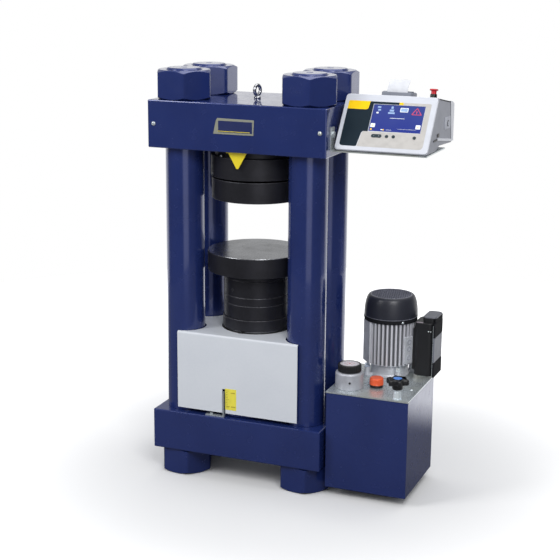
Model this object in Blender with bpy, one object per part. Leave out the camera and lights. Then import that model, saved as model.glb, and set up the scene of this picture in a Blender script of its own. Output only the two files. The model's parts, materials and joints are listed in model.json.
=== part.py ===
"""Concrete compression testing machine: a four-column press, its oil power pack and its console.

Metres, +Z up, and the front faces -Y. Sizes and places are measured from the floor under the ram's
axis. At the end the whole machine is set on the middle of its floor area, which is the part's origin.
"""
import math

import bmesh
import bpy
from mathutils import Matrix, Vector

# Fits between pieces
SEAT_GAP = 0.0003
BORE_CLEARANCE = 0.0008
SLIDING_CLEARANCE = 0.0005
MERGE_DISTANCE = 0.00001

# How finely round pieces are turned
BIG_STEPS = 32
MEDIUM_STEPS = 24
SMALL_STEPS = 16
NUT_FLAT_STEPS = 4

# Press frame
BASE_FRONT_MARGIN = 0.020
BASE_HEIGHT = 0.117
CROSSHEAD_SIDE_OVERHANG = 0.005
CROSSHEAD_FRONT_INSET = 0.0015
CROSSHEAD_HEIGHT = 0.132
BLOCK_EDGE = 0.003
COLUMN_SIDE_INSET = 0.0715
COLUMN_DIAMETER = 0.1086
COLUMN_CLEAR_LENGTH = 0.7615
THREAD_DIAMETER = 0.100
THREAD_TIP_CHAMFER = 0.0045
STUD_PROUD = 0.005
TOP_NUT_ACROSS_FLATS = 0.145
FOOT_NUT_ACROSS_FLATS = 0.137
TOP_NUT_HEIGHT = 0.080
FOOT_NUT_HEIGHT = 0.077
NUT_FACE_SHARE = 0.97
NUT_CHAMFER = math.radians(30)
FRONT_LEFT_NUT_TURN = math.radians(54)
FRONT_RIGHT_NUT_TURN = math.radians(50)
REAR_NUT_TURN = math.radians(32)
NUT_ROW_GAP = 0.0007

# Jack and its cover
CYLINDER_DIAMETER = 0.277
CYLINDER_COLUMN_GAP = 0.0098
CYLINDER_WALL = 0.046
CYLINDER_HEIGHT = 0.2372
CYLINDER_FLOOR = 0.045
CYLINDER_EDGE = 0.004
PISTON_PROUD = 0.0065
WIPER_WIDTH = 0.006
WIPER_SEAT_DEPTH = 0.004
WIPER_PROUD = 0.003
GUARD_SIDE_INSET = 0.00175
GUARD_SHEET = 0.002
GUARD_BEND = 0.005
GUARD_FRONT_GAP = 0.0077
GUARD_COLUMN_CLEARANCE = 0.004
GUARD_FLOOR_GAP = 0.012
NOTCH_X = -0.0391
NOTCH_WIDTH = 0.0092
NOTCH_TOP_ABOVE_BASE = 0.0838

# Travel stop bracket in the cover's notch
BRACKET_SHEET = 0.003
BRACKET_WIDTH = 0.012
BRACKET_LEG_LENGTH = 0.057
BRACKET_RISE = 0.076
BRACKET_FRONT_PROUD = 0.0047
BRACKET_SLOT_LENGTH = 0.022
BRACKET_SLOT_WIDTH = 0.005

# Pieces that ride on the ram, from the bottom up
DISTANCE_PIECE_HEIGHTS = (0.0327, 0.0405, 0.0233, 0.0480, 0.0198)
LOWEST_PIECE_OVERHANG = 0.0047
DISTANCE_PIECE_OVERHANG = 0.002
DISTANCE_PIECE_CHAMFER = 0.0015
SPIGOT_DIAMETER = 0.060
SPIGOT_HEIGHT = 0.005
LOWER_PLATEN_COLUMN_GAP = 0.0084
LOWER_PLATEN_THICKNESS = 0.0555
PLATEN_CHAMFER = 0.0015

# Upper platen and its ball seat
SEAT_FLANGE_INSET = 0.012
SEAT_FLANGE_HEIGHT = 0.021
SEAT_HOUSING_COLUMN_GAP = 0.0183
SEAT_HOUSING_HEIGHT = 0.059
TILT_GAP = 0.0055
UPPER_PLATEN_COLUMN_GAP = 0.0204
UPPER_PLATEN_THICKNESS = 0.0585
BALL_RADIUS = 0.105
BALL_CLEARANCE = 0.0006
BALL_TOP_RADIUS = 0.030
BALL_ARC_STEPS = 4
DUST_RING_DIAMETER = 0.183
DUST_RING_THICKNESS = 0.003
DUST_RING_LIFT = 0.0034
DUST_RECESS_DIAMETER = 0.195
DUST_RECESS_DEPTH = 0.0125

# Lifting eyebolt and centre pointer
EYE_RING_RADIUS = 0.0135
EYE_WIRE_RADIUS = 0.0048
EYE_COLLAR_RADIUS = 0.0100
EYE_COLLAR_HEIGHT = 0.007
EYE_NECK_RADIUS = 0.0065
EYE_SHANK_RADIUS = 0.006
EYE_SHANK_LENGTH = 0.018
EYE_TURN = math.radians(77)
POINTER_WIDTH = 0.058
POINTER_DROP = 0.0500
POINTER_SHEET = 0.002
POINTER_TIP_RADIUS = 0.004
POINTER_FOLD = 0.010
POINTER_SET_BACK = 0.017

# Oil tank, standing beside the base on two rubber runners
TANK_SIDE_GAP = 0.0009
TANK_WIDTH = 0.2353
TANK_DEPTH = 0.261
TANK_FRONT_Y = -0.1312
TANK_HEIGHT = 0.2776
TANK_SHEET = 0.003
TANK_EDGE = 0.002
RUNNER_HEIGHT = 0.0257
RUNNER_WIDTH = 0.030
RUNNER_INSET = 0.032
RUNNER_END_INSET = 0.062
LID_THICKNESS = 0.004
LID_OVERHANG = 0.001
LID_REAR_OVERHANG = 0.020

# Pump under the lid
PUMP_DIAMETER = 0.044
PUMP_LENGTH = 0.110
SUCTION_PIPE_DIAMETER = 0.016
STRAINER_DIAMETER = 0.042
STRAINER_HEIGHT = 0.045
STRAINER_FLOOR_GAP = 0.030

# Motor
MOTOR_FROM_TANK_LEFT = 0.1117
MOTOR_Y = 0.095
COLLAR_DIAMETER = 0.097
COLLAR_HEIGHT = 0.0405
COLLAR_FOOT_HEIGHT = 0.008
LUG_RADIUS = 0.068
LUG_WIDTH = 0.020
LUG_HEIGHT = 0.038
LUG_HEAD_RADIUS = 0.0075
FIN_COUNT = 36
FIN_TIP_DIAMETER = 0.1460
FIN_DEPTH = 0.009
FIN_SHARE = 0.45
MOTOR_BODY_HEIGHT = 0.1355
MOTOR_PAD_ANGLE = math.radians(-28)
MOTOR_PAD_WIDTH = 0.034
MOTOR_PAD_HEIGHT = 0.078
MOTOR_PAD_RISE = 0.006
SHAFT_DIAMETER = 0.014
FAN_COWL_GAP = 0.0202
FAN_HUB_DIAMETER = 0.030
FAN_BLADES = 7
FAN_BLADE_THICKNESS = 0.004
FAN_HEIGHT = 0.022
FAN_LIFT = 0.006
COWL_BAND_MARGIN = 0.0023
COWL_BAND_HEIGHT = 0.0123
COWL_LIP = 0.0009
COWL_HEIGHT = 0.0715
COWL_SHOULDER = 0.0157
COWL_WALL = 0.002
COWL_CURVE_STEPS = 5
COWL_SLOTS = 7
COWL_SLOT_WIDTH = 0.0045
COWL_SLOT_PITCH = 0.0135
COWL_GRILLE_MARGIN = 0.0065

# Switch and capacitor box on the motor's side
SWITCH_BOX_GAP = 0.0015
SWITCH_BOX_WIDTH = 0.0573
SWITCH_BOX_DEPTH = 0.078
SWITCH_LEDGE_DROP = 0.0076
SWITCH_BOX_LIFT = 0.014
SWITCH_BOX_CORNER = 0.018
SWITCH_BOX_SET_BACK = 0.006
SWITCH_HEAD_HEIGHT = 0.013
SWITCH_HEAD_SET_BACK = 0.009
SWITCH_COVER_SHEET = 0.005
SWITCH_COVER_CAP = 0.005
SWITCH_COVER_REACH = 0.035
SWITCH_COVER_DEPTH = 0.081
SWITCH_NECK_WIDTH = 0.050
SWITCH_NECK_DROP = 0.014

# Flow control valve and its graduated knob
VALVE_FROM_TANK_LEFT = 0.0461
VALVE_Y = -0.0685
VALVE_DIAMETER = 0.079
VALVE_HEIGHT = 0.0462
VALVE_CHAMFER = 0.003
VALVE_PORT_DIAMETER = 0.0065
VALVE_PORT_DEPTH = 0.012
VALVE_PORT_HEIGHT = 0.022
VALVE_PORT_ANGLE = math.radians(-70)
FLOW_KNOB_DIAMETER = 0.0655
FLOW_KNOB_HEIGHT = 0.0215
FLOW_KNOB_TEETH = 32
FLOW_KNOB_TOOTH = 0.0010
FLOW_KNOB_DISH_DIAMETER = 0.054
FLOW_KNOB_DISH_DEPTH = 0.001
SPINDLE_DIAMETER = 0.016
SPINDLE_HEIGHT = 0.010

# Filler neck and cap
FILLER_FROM_TANK_LEFT = 0.1160
FILLER_Y = -0.0386
FILLER_NECK_DIAMETER = 0.037
FILLER_NECK_HEIGHT = 0.007
FILLER_SPIGOT_DIAMETER = 0.028
FILLER_SPIGOT_HEIGHT = 0.010
FILLER_BORE_DIAMETER = 0.020
FILLER_CAP_DIAMETER = 0.0400
FILLER_CAP_HEIGHT = 0.020
FILLER_CAP_EDGE = 0.002

# Release valve and its lobed knob
RELEASE_FROM_TANK_RIGHT = 0.0356
RELEASE_Y = -0.115
RELEASE_HEX_WIDTH = 0.024
RELEASE_HEX_HEIGHT = 0.015
RELEASE_NECK_DIAMETER = 0.020
RELEASE_NECK_HEIGHT = 0.012
RELEASE_SPINDLE_DIAMETER = 0.010
RELEASE_SPINDLE_HEIGHT = 0.012
LOBED_KNOB_HUB_DIAMETER = 0.025
LOBED_KNOB_HUB_HEIGHT = 0.018
LOBED_KNOB_DIAMETER = 0.064
LOBED_KNOB_HEIGHT = 0.013
LOBED_KNOB_LOBES = 6
LOBED_KNOB_WAVE = 0.0055

# Console, leaning back beside the crosshead
CONSOLE_SIDE_GAP = 0.013
CONSOLE_Y = -0.1342
CONSOLE_Z = 0.9824
CONSOLE_TILT = math.radians(35.96)
BEZEL_WIDTH = 0.2533
BEZEL_HEIGHT = 0.1689
BEZEL_THICKNESS = 0.009
BEZEL_CORNER = 0.010
BEZEL_EDGE = 0.002
HOUSING_INSET = 0.0015
HOUSING_CREST_SET_BACK = 0.010
HOUSING_CREST_RISE = 0.0026
HOUSING_TOP_DEPTH = 0.1364
HOUSING_TOP_DROP = 0.0215
HOUSING_SHOULDER = 0.0153
HOUSING_REAR_HEIGHT = 0.096
HOUSING_TAIL_RISE = 0.005
HOUSING_TAIL_DEPTH = 0.122
HOUSING_BELLY_RISE = 0.011
HOUSING_BELLY_RUN = 0.040
HOUSING_FOOT_DEPTH = 0.080
HOUSING_EDGE = 0.004
SCREEN_LEFT = 0.083
SCREEN_BOTTOM = 0.0595
SCREEN_WIDTH = 0.1405
SCREEN_HEIGHT = 0.0800
SCREEN_THICKNESS = 0.0025
PANEL_RECESS = 0.0008
KEY_ROW = 0.0452
KEY_PROUD = 0.0012
KEY_TRAVEL = 0.0010
KEY_BODY = 0.0040
ROUND_KEY_DIAMETER = 0.0090
ROUND_KEY_PLACES = (0.1360, 0.1543, 0.2109)
PILL_KEY_WIDTH = 0.0285
PILL_KEY_HEIGHT = 0.0100
PILL_KEY_PLACE = 0.1080
KEY_CLEARANCE = 0.0004

# Emergency stop on the console's top
STOP_FROM_RIGHT = 0.0228
STOP_SET_BACK = 0.0124
STOP_COLLAR_DIAMETER = 0.0180
STOP_COLLAR_HEIGHT = 0.0110
STOP_HEAD_DIAMETER = 0.0230
STOP_HEAD_HEIGHT = 0.0055
STOP_STEM_DIAMETER = 0.0130
STOP_STEM_SHOWING = 0.0080
STOP_STEM_DEPTH = 0.0060
STOP_TRAVEL = 0.0050

# Printer on the console's top
PRINTER_FROM_LEFT = 0.1285
PRINTER_SET_BACK = 0.0184
PRINTER_LID_WIDTH = 0.088
PRINTER_LID_DEPTH = 0.045
PRINTER_LID_HEIGHT = 0.0145
PRINTER_LID_CORNER = 0.010
PRINTER_LID_EDGE = 0.004
PRINTER_BAY_WIDTH = 0.066
PRINTER_BAY_DEPTH = 0.044
PRINTER_BAY_DROP = 0.050
PAPER_WIDTH = 0.057
PAPER_ROLL_RADIUS = 0.019
PAPER_SHEET = 0.0006
PAPER_SHOWING = 0.0320
PAPER_LEAN = 0.0100
PAPER_BEND_STEPS = 5
PAPER_SLOT = 0.003

# Bracket that carries the console
STRAP_SHEET = 0.0035
STRAP_WIDTH = 0.0276
STRAP_FRONT_Y = -0.1300
STRAP_TOP_ABOVE_TRAY = 0.060
TRAY_SET_BACK = 0.010
TRAY_DEPTH = 0.176
TRAY_BEND = 0.008
CONSOLE_BOLT_RADIUS = 0.009
CONSOLE_BOLT_DROP = 0.020


def nut_reach(across_flats, turns, direction):
    """How far the corners of nuts with these turns reach from their axis towards a direction."""
    corner = across_flats / 2 / math.cos(math.pi / 6)
    corners = [turn + side * math.pi / 3 for turn in turns for side in range(6)]
    return corner * max(math.cos(angle - direction) for angle in corners)


# The columns stand just clear of the jack, and the nuts of the rear row just clear of the front row's
FRONT_TURNS = (FRONT_LEFT_NUT_TURN, FRONT_RIGHT_NUT_TURN)
REAR_TURNS = (REAR_NUT_TURN,)
FRONT_ROW_REACH = nut_reach(TOP_NUT_ACROSS_FLATS, FRONT_TURNS, math.pi / 2)
REAR_ROW_REACH = nut_reach(TOP_NUT_ACROSS_FLATS, REAR_TURNS, -math.pi / 2)
COLUMN_FREE_RADIUS = CYLINDER_DIAMETER / 2 + CYLINDER_COLUMN_GAP
COLUMN_AXIS_RADIUS = COLUMN_FREE_RADIUS + COLUMN_DIAMETER / 2
COLUMN_SPACING_Y = FRONT_ROW_REACH + REAR_ROW_REACH + NUT_ROW_GAP
COLUMN_SPACING_X = 2 * math.sqrt(COLUMN_AXIS_RADIUS**2 - COLUMN_SPACING_Y**2 / 4)

# Widths and places that follow from the sizes above
PRESS_REACH = max(CYLINDER_DIAMETER / 2, COLUMN_SPACING_Y / 2 + COLUMN_DIAMETER / 2)
BASE_WIDTH = COLUMN_SPACING_X + 2 * COLUMN_SIDE_INSET
BASE_DEPTH = 2 * (PRESS_REACH + BASE_FRONT_MARGIN)
CROSSHEAD_WIDTH = BASE_WIDTH + 2 * CROSSHEAD_SIDE_OVERHANG
CROSSHEAD_DEPTH = BASE_DEPTH - 2 * CROSSHEAD_FRONT_INSET
PISTON_DIAMETER = CYLINDER_DIAMETER - 2 * CYLINDER_WALL
LOWEST_PIECE_DIAMETER = PISTON_DIAMETER + 2 * LOWEST_PIECE_OVERHANG
DISTANCE_PIECE_DIAMETER = PISTON_DIAMETER + 2 * DISTANCE_PIECE_OVERHANG
LOWER_PLATEN_DIAMETER = 2 * (COLUMN_FREE_RADIUS - LOWER_PLATEN_COLUMN_GAP)
UPPER_PLATEN_DIAMETER = 2 * (COLUMN_FREE_RADIUS - UPPER_PLATEN_COLUMN_GAP)
SEAT_HOUSING_DIAMETER = 2 * (COLUMN_FREE_RADIUS - SEAT_HOUSING_COLUMN_GAP)
SEAT_FLANGE_DIAMETER = SEAT_HOUSING_DIAMETER - 2 * SEAT_FLANGE_INSET
GUARD_WIDTH = COLUMN_SPACING_X - 2 * GUARD_SIDE_INSET
RIGHT_TURNS = (FRONT_RIGHT_NUT_TURN, REAR_NUT_TURN)
FOOT_NUT_REACH = nut_reach(FOOT_NUT_ACROSS_FLATS, RIGHT_TURNS, 0)
TANK_LEFT_X = max(BASE_WIDTH / 2, COLUMN_SPACING_X / 2 + FOOT_NUT_REACH) + TANK_SIDE_GAP
FIN_ROOT_DIAMETER = FIN_TIP_DIAMETER - 2 * FIN_DEPTH
COWL_BAND_DIAMETER = FIN_TIP_DIAMETER + 2 * COWL_BAND_MARGIN
COWL_DIAMETER = COWL_BAND_DIAMETER + 2 * COWL_LIP
COWL_TOP_DIAMETER = COWL_DIAMETER - 2 * COWL_SHOULDER
COWL_GRILLE_DIAMETER = COWL_TOP_DIAMETER - 2 * COWL_GRILLE_MARGIN
FAN_DIAMETER = COWL_DIAMETER - 2 * FAN_COWL_GAP
MOTOR_X = TANK_LEFT_X + MOTOR_FROM_TANK_LEFT
VALVE_X = TANK_LEFT_X + VALVE_FROM_TANK_LEFT
FILLER_X = TANK_LEFT_X + FILLER_FROM_TANK_LEFT
RELEASE_X = TANK_LEFT_X + TANK_WIDTH - RELEASE_FROM_TANK_RIGHT
CONSOLE_X = CROSSHEAD_WIDTH / 2 + CONSOLE_SIDE_GAP
STOP_X = CONSOLE_X + BEZEL_WIDTH - STOP_FROM_RIGHT
PRINTER_X = CONSOLE_X + PRINTER_FROM_LEFT

# Levels that follow from the sizes above
BASE_BOTTOM = FOOT_NUT_HEIGHT + SEAT_GAP
BASE_TOP = BASE_BOTTOM + BASE_HEIGHT
SHOULDER_BOTTOM = BASE_TOP + SEAT_GAP
SHOULDER_TOP = SHOULDER_BOTTOM + COLUMN_CLEAR_LENGTH
CROSSHEAD_BOTTOM = SHOULDER_TOP + SEAT_GAP
CROSSHEAD_TOP = CROSSHEAD_BOTTOM + CROSSHEAD_HEIGHT
TOP_NUT_BOTTOM = CROSSHEAD_TOP + SEAT_GAP
CYLINDER_BOTTOM = BASE_TOP + SEAT_GAP
CYLINDER_TOP = CYLINDER_BOTTOM + CYLINDER_HEIGHT
PISTON_TOP = CYLINDER_TOP + PISTON_PROUD
GUARD_TOP = CYLINDER_TOP + SEAT_GAP + GUARD_SHEET
SEAT_FLANGE_TOP = CROSSHEAD_BOTTOM - SEAT_GAP
SEAT_HOUSING_TOP = SEAT_FLANGE_TOP - SEAT_FLANGE_HEIGHT
SEAT_HOUSING_BOTTOM = SEAT_HOUSING_TOP - SEAT_HOUSING_HEIGHT
BALL_CENTRE_Z = SEAT_HOUSING_BOTTOM - TILT_GAP - UPPER_PLATEN_THICKNESS
TANK_BOTTOM = RUNNER_HEIGHT + SEAT_GAP
TANK_TOP = TANK_BOTTOM + TANK_HEIGHT
LID_BOTTOM = TANK_TOP + SEAT_GAP
LID_TOP = LID_BOTTOM + LID_THICKNESS
FITTING_BOTTOM = LID_TOP + SEAT_GAP


# Middle of the floor area: from the left nuts to the console, and from the front nuts to the motor's cowl
LEFT_NUT_REACH = nut_reach(TOP_NUT_ACROSS_FLATS, FRONT_TURNS + REAR_TURNS, math.pi)
FRONT_NUT_REACH = nut_reach(TOP_NUT_ACROSS_FLATS, FRONT_TURNS, -math.pi / 2)
LEFT_REACH = max(CROSSHEAD_WIDTH / 2, COLUMN_SPACING_X / 2 + LEFT_NUT_REACH)
RIGHT_REACH = max(CONSOLE_X + BEZEL_WIDTH, TANK_LEFT_X + TANK_WIDTH + LID_OVERHANG)
FRONT_REACH = max(BASE_DEPTH / 2, COLUMN_SPACING_Y / 2 + FRONT_NUT_REACH)
REAR_REACH = MOTOR_Y + COWL_DIAMETER / 2
MIDDLE_X = (RIGHT_REACH - LEFT_REACH) / 2
MIDDLE_Y = (REAR_REACH - FRONT_REACH) / 2

FINISHES = {
    "blue_paint": ((42, 56, 96), 0.25, 0.0),
    "black_oxide": ((38, 38, 42), 0.45, 0.6),
    "ground_steel": ((150, 152, 155), 0.28, 1.0),
    "grey_paint": ((205, 209, 215), 0.35, 0.0),
    "zinc": ((165, 172, 175), 0.35, 0.9),
    "chrome": ((215, 215, 218), 0.12, 1.0),
    "yellow": ((226, 205, 42), 0.40, 0.0),
    "black_plastic": ((30, 31, 34), 0.45, 0.0),
    "rubber": ((24, 24, 25), 0.80, 0.0),
    "cast_aluminium": ((168, 168, 172), 0.45, 0.8),
    "white_plastic": ((226, 228, 232), 0.35, 0.0),
    "grey_plastic": ((142, 144, 154), 0.45, 0.0),
    "orange_plastic": ((233, 92, 44), 0.40, 0.0),
    "red_plastic": ((196, 24, 44), 0.35, 0.0),
    "screen_glass": ((62, 78, 156), 0.15, 0.0),
    "paper": ((240, 241, 243), 0.80, 0.0),
}


def clear_scene():
    """Take every object out of the scene."""
    for item in list(bpy.data.objects):
        bpy.data.objects.remove(item, do_unlink=True)


def linear_colour(levels):
    """Turn 0 to 255 colour levels into the linear colour a shader takes."""
    shares = [level / 255 for level in levels]
    return [s / 12.92 if s <= 0.04045 else ((s + 0.055) / 1.055) ** 2.4 for s in shares] + [1.0]


def own_material(name, finish):
    """Give a piece a material of its own in one of the named finishes."""
    levels, roughness, metallic = FINISHES[finish]
    material = bpy.data.materials.new(name + "_finish")
    material.use_nodes = True
    shader = material.node_tree.nodes["Principled BSDF"]
    shader.inputs["Base Color"].default_value = linear_colour(levels)
    shader.inputs["Roughness"].default_value = roughness
    shader.inputs["Metallic"].default_value = metallic
    return material


def closed_mesh(name, bm):
    """Merge doubles, point the faces outwards and shade round faces smooth."""
    bmesh.ops.remove_doubles(bm, verts=bm.verts[:], dist=MERGE_DISTANCE)
    bmesh.ops.recalc_face_normals(bm, faces=bm.faces[:])
    mesh = bpy.data.meshes.new(name)
    bm.to_mesh(mesh)
    bm.free()
    mesh.shade_smooth()
    mesh.set_sharp_from_angle(angle=math.radians(32))
    return mesh


def add_piece(name, mesh, finish, location=(0, 0, 0), rotation=(0, 0, 0), parent=None):
    """Put a named piece with its own material into the scene."""
    piece = bpy.data.objects.new(name, mesh)
    piece.location = location
    piece.rotation_euler = rotation
    piece.parent = parent
    piece.data.materials.clear()
    piece.data.materials.append(own_material(name, finish))
    bpy.context.collection.objects.link(piece)
    return piece


def add_cutter(name, mesh, location=(0, 0, 0), rotation=(0, 0, 0), parent=None):
    """Put a shape that only cuts or joins into the scene, hidden from the render."""
    cutter = bpy.data.objects.new(name, mesh)
    cutter.location = location
    cutter.rotation_euler = rotation
    cutter.parent = parent
    cutter.hide_render = True
    cutter.display_type = "WIRE"
    bpy.context.collection.objects.link(cutter)
    return cutter


def combine(piece, cutter, operation="DIFFERENCE"):
    """Cut a piece by a cutter, or join or intersect the two."""
    modifier = piece.modifiers.new(cutter.name, "BOOLEAN")
    modifier.operation = operation
    modifier.solver = "EXACT"
    modifier.object = cutter


def break_edges(piece, width, segments=2):
    """Round a piece's sharp edges."""
    modifier = piece.modifiers.new("edges", "BEVEL")
    modifier.width = width
    modifier.segments = segments
    modifier.limit_method = "ANGLE"
    modifier.angle_limit = math.radians(40)


def turned(name, profile, steps, hollow=False):
    """Spin a line of (radius, height) points about Z. A hollow profile closes on itself."""
    bm = bmesh.new()
    points = [bm.verts.new((radius, 0, height)) for radius, height in profile]
    following = points[1:] + points[:1] if hollow else points[1:]
    lines = [bm.edges.new(pair) for pair in zip(points, following)]
    axis = Vector((0, 0, 1))
    full_turn = 2 * math.pi
    bmesh.ops.spin(bm, geom=points + lines, axis=axis, angle=full_turn, steps=steps, use_merge=True)
    return closed_mesh(name, bm)


def extruded(name, outline, low, high, turn=None):
    """Raise a flat outline in XY from one height to another, and turn the result."""
    bm = bmesh.new()
    floor = bm.faces.new([bm.verts.new((x, y, low)) for x, y in outline])
    grown = bmesh.ops.extrude_face_region(bm, geom=[floor])
    top = [item for item in grown["geom"] if isinstance(item, bmesh.types.BMVert)]
    bmesh.ops.translate(bm, verts=top, vec=(0, 0, high - low))
    if turn is not None:
        bmesh.ops.transform(bm, matrix=turn, verts=bm.verts[:])
    return closed_mesh(name, bm)


def boxed(name, low, high):
    """Make a plain block between two corners."""
    bm = bmesh.new()
    size = Vector(high) - Vector(low)
    middle = (Vector(high) + Vector(low)) / 2
    bmesh.ops.create_cube(bm, size=1, matrix=Matrix.Translation(middle) @ Matrix.Diagonal((*size, 1)))
    return closed_mesh(name, bm)


def arc(centre, radius, start, end, steps):
    """Points along an arc about a centre, both ends included."""
    angles = [start + (end - start) * step / steps for step in range(steps + 1)]
    return [(centre[0] + radius * math.cos(a), centre[1] + radius * math.sin(a)) for a in angles]


def ring_outline(radius, steps):
    """Corners of a regular outline that stands for a circle."""
    return arc((0, 0), radius, 0, 2 * math.pi * (steps - 1) / steps, steps - 1)


def rounded_rectangle(left, bottom, width, height, corner, steps=4):
    """Outline of a rectangle with round corners."""
    right_centre = left + width - corner
    left_centre = left + corner
    low_centre = bottom + corner
    high_centre = bottom + height - corner
    quarter = math.pi / 2
    points = arc((right_centre, low_centre), corner, -quarter, 0, steps)
    points += arc((right_centre, high_centre), corner, 0, quarter, steps)
    points += arc((left_centre, high_centre), corner, quarter, 2 * quarter, steps)
    points += arc((left_centre, low_centre), corner, 2 * quarter, 3 * quarter, steps)
    return points


def disc_profile(radius, low, high, chamfer):
    """Turned outline of a disc with both rims chamfered."""
    return [
        (0, low),
        (radius - chamfer, low),
        (radius, low + chamfer),
        (radius, high - chamfer),
        (radius - chamfer, high),
        (0, high),
    ]


def column_places():
    """Name, centre and nut turn of each of the four columns."""
    x = COLUMN_SPACING_X / 2
    y = COLUMN_SPACING_Y / 2
    yield "front_left", -x, -y, FRONT_LEFT_NUT_TURN
    yield "front_right", x, -y, FRONT_RIGHT_NUT_TURN
    yield "rear_left", -x, y, REAR_NUT_TURN
    yield "rear_right", x, y, REAR_NUT_TURN


def build_blocks():
    """Base plate and crosshead, bored for the four threaded column ends."""
    half = Vector((BASE_WIDTH, BASE_DEPTH, 0)) / 2
    block = boxed("base_plate", (-half.x, -half.y, BASE_BOTTOM), (half.x, half.y, BASE_TOP))
    base = add_piece("base_plate", block, "blue_paint")
    half = Vector((CROSSHEAD_WIDTH, CROSSHEAD_DEPTH, 0)) / 2
    block = boxed("crosshead", (-half.x, -half.y, CROSSHEAD_BOTTOM), (half.x, half.y, CROSSHEAD_TOP))
    crosshead = add_piece("crosshead", block, "blue_paint")
    bore = THREAD_DIAMETER / 2 + BORE_CLEARANCE
    for piece, bottom, top in ((base, BASE_BOTTOM, BASE_TOP), (crosshead, CROSSHEAD_BOTTOM, CROSSHEAD_TOP)):
        break_edges(piece, BLOCK_EDGE)
        for place, x, y, _ in column_places():
            name = piece.name + "_bore_" + place
            hole = extruded(name, ring_outline(bore, MEDIUM_STEPS), bottom - BLOCK_EDGE, top + BLOCK_EDGE)
            combine(piece, add_cutter(name, hole, (x, y, 0)))
    tapping = EYE_SHANK_RADIUS + BORE_CLEARANCE
    depth = EYE_SHANK_LENGTH + BORE_CLEARANCE
    hole = extruded("eyebolt_hole", ring_outline(tapping, SMALL_STEPS), -depth, BLOCK_EDGE)
    combine(crosshead, add_cutter("eyebolt_hole", hole, (0, 0, CROSSHEAD_TOP)))


def build_columns():
    """Four columns: a shouldered middle and a threaded end through each block and its nut."""
    thread = THREAD_DIAMETER / 2
    body = COLUMN_DIAMETER / 2
    tip = thread - THREAD_TIP_CHAMFER
    stud_top = TOP_NUT_BOTTOM + TOP_NUT_HEIGHT + STUD_PROUD
    stud_bottom = STUD_PROUD
    profile = [
        (0, stud_bottom),
        (tip, stud_bottom),
        (thread, stud_bottom + THREAD_TIP_CHAMFER),
        (thread, SHOULDER_BOTTOM),
        (body, SHOULDER_BOTTOM),
        (body, SHOULDER_TOP),
        (thread, SHOULDER_TOP),
        (thread, stud_top - THREAD_TIP_CHAMFER),
        (tip, stud_top),
        (0, stud_top),
    ]
    for place, x, y, _ in column_places():
        mesh = turned("column_" + place, profile, MEDIUM_STEPS)
        add_piece("column_" + place, mesh, "blue_paint", (x, y, 0))


def nut_mesh(name, across_flats, height):
    """A hexagon nut with both faces chamfered to a circle, bored for the column's thread.

    The flats stand at half / cos(angle from the flat's middle); each chamfer cone cuts them where it
    reaches that radius.
    """
    half = across_flats / 2
    face = half * NUT_FACE_SHARE
    bore = THREAD_DIAMETER / 2 + BORE_CLEARANCE
    bm = bmesh.new()
    sections = []
    for step in range(6 * NUT_FLAT_STEPS):
        angle = 2 * math.pi * step / (6 * NUT_FLAT_STEPS)
        from_middle = angle % (math.pi / 3) - math.pi / 6
        flat = half / math.cos(from_middle)
        fall = (flat - face) * math.tan(NUT_CHAMFER)
        section = [(bore, 0), (face, 0), (flat, fall), (flat, height - fall), (face, height), (bore, height)]
        sections.append([bm.verts.new((r * math.cos(angle), r * math.sin(angle), z)) for r, z in section])
    for section, following in zip(sections, sections[1:] + sections[:1]):
        for number in range(len(section)):
            after = (number + 1) % len(section)
            bm.faces.new((section[number], following[number], following[after], section[after]))
    return closed_mesh(name, bm)


def build_nuts():
    """Four nuts on the crosshead and four under the base, which are the machine's feet."""
    for place, x, y, turn in column_places():
        for kind, across_flats, height, level in (
            ("top_nut_", TOP_NUT_ACROSS_FLATS, TOP_NUT_HEIGHT, TOP_NUT_BOTTOM),
            ("foot_nut_", FOOT_NUT_ACROSS_FLATS, FOOT_NUT_HEIGHT, 0),
        ):
            mesh = nut_mesh(kind + place, across_flats, height)
            add_piece(kind + place, mesh, "blue_paint", (x, y, level), (0, 0, turn))


def build_jack():
    """Hydraulic cylinder, its wiper ring and the piston at the bottom of its stroke."""
    outer = CYLINDER_DIAMETER / 2
    piston = PISTON_DIAMETER / 2
    bore = piston + SLIDING_CLEARANCE
    wiper_outer = bore + WIPER_WIDTH
    floor = CYLINDER_BOTTOM + CYLINDER_FLOOR
    ledge = CYLINDER_TOP - WIPER_SEAT_DEPTH
    profile = [
        (0, CYLINDER_BOTTOM),
        (outer - CYLINDER_EDGE, CYLINDER_BOTTOM),
        (outer, CYLINDER_BOTTOM + CYLINDER_EDGE),
        (outer, CYLINDER_TOP - CYLINDER_EDGE),
        (outer - CYLINDER_EDGE, CYLINDER_TOP),
        (wiper_outer + SEAT_GAP, CYLINDER_TOP),
        (wiper_outer + SEAT_GAP, ledge),
        (bore, ledge),
        (bore, floor),
        (0, floor),
    ]
    add_piece("cylinder_body", turned("cylinder_body", profile, BIG_STEPS), "blue_paint")
    ring = [
        (bore, ledge + SEAT_GAP),
        (wiper_outer, ledge + SEAT_GAP),
        (wiper_outer, CYLINDER_TOP + WIPER_PROUD),
        (bore, CYLINDER_TOP + WIPER_PROUD),
    ]
    add_piece("ram_wiper_ring", turned("ram_wiper_ring", ring, BIG_STEPS, hollow=True), "rubber")
    spigot = SPIGOT_DIAMETER / 2
    plunger = [
        (0, floor + SEAT_GAP),
        (piston, floor + SEAT_GAP),
        (piston, PISTON_TOP),
        (spigot, PISTON_TOP),
        (spigot, PISTON_TOP + SPIGOT_HEIGHT),
        (0, PISTON_TOP + SPIGOT_HEIGHT),
    ]
    add_piece("piston", turned("piston", plunger, BIG_STEPS), "ground_steel")


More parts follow.
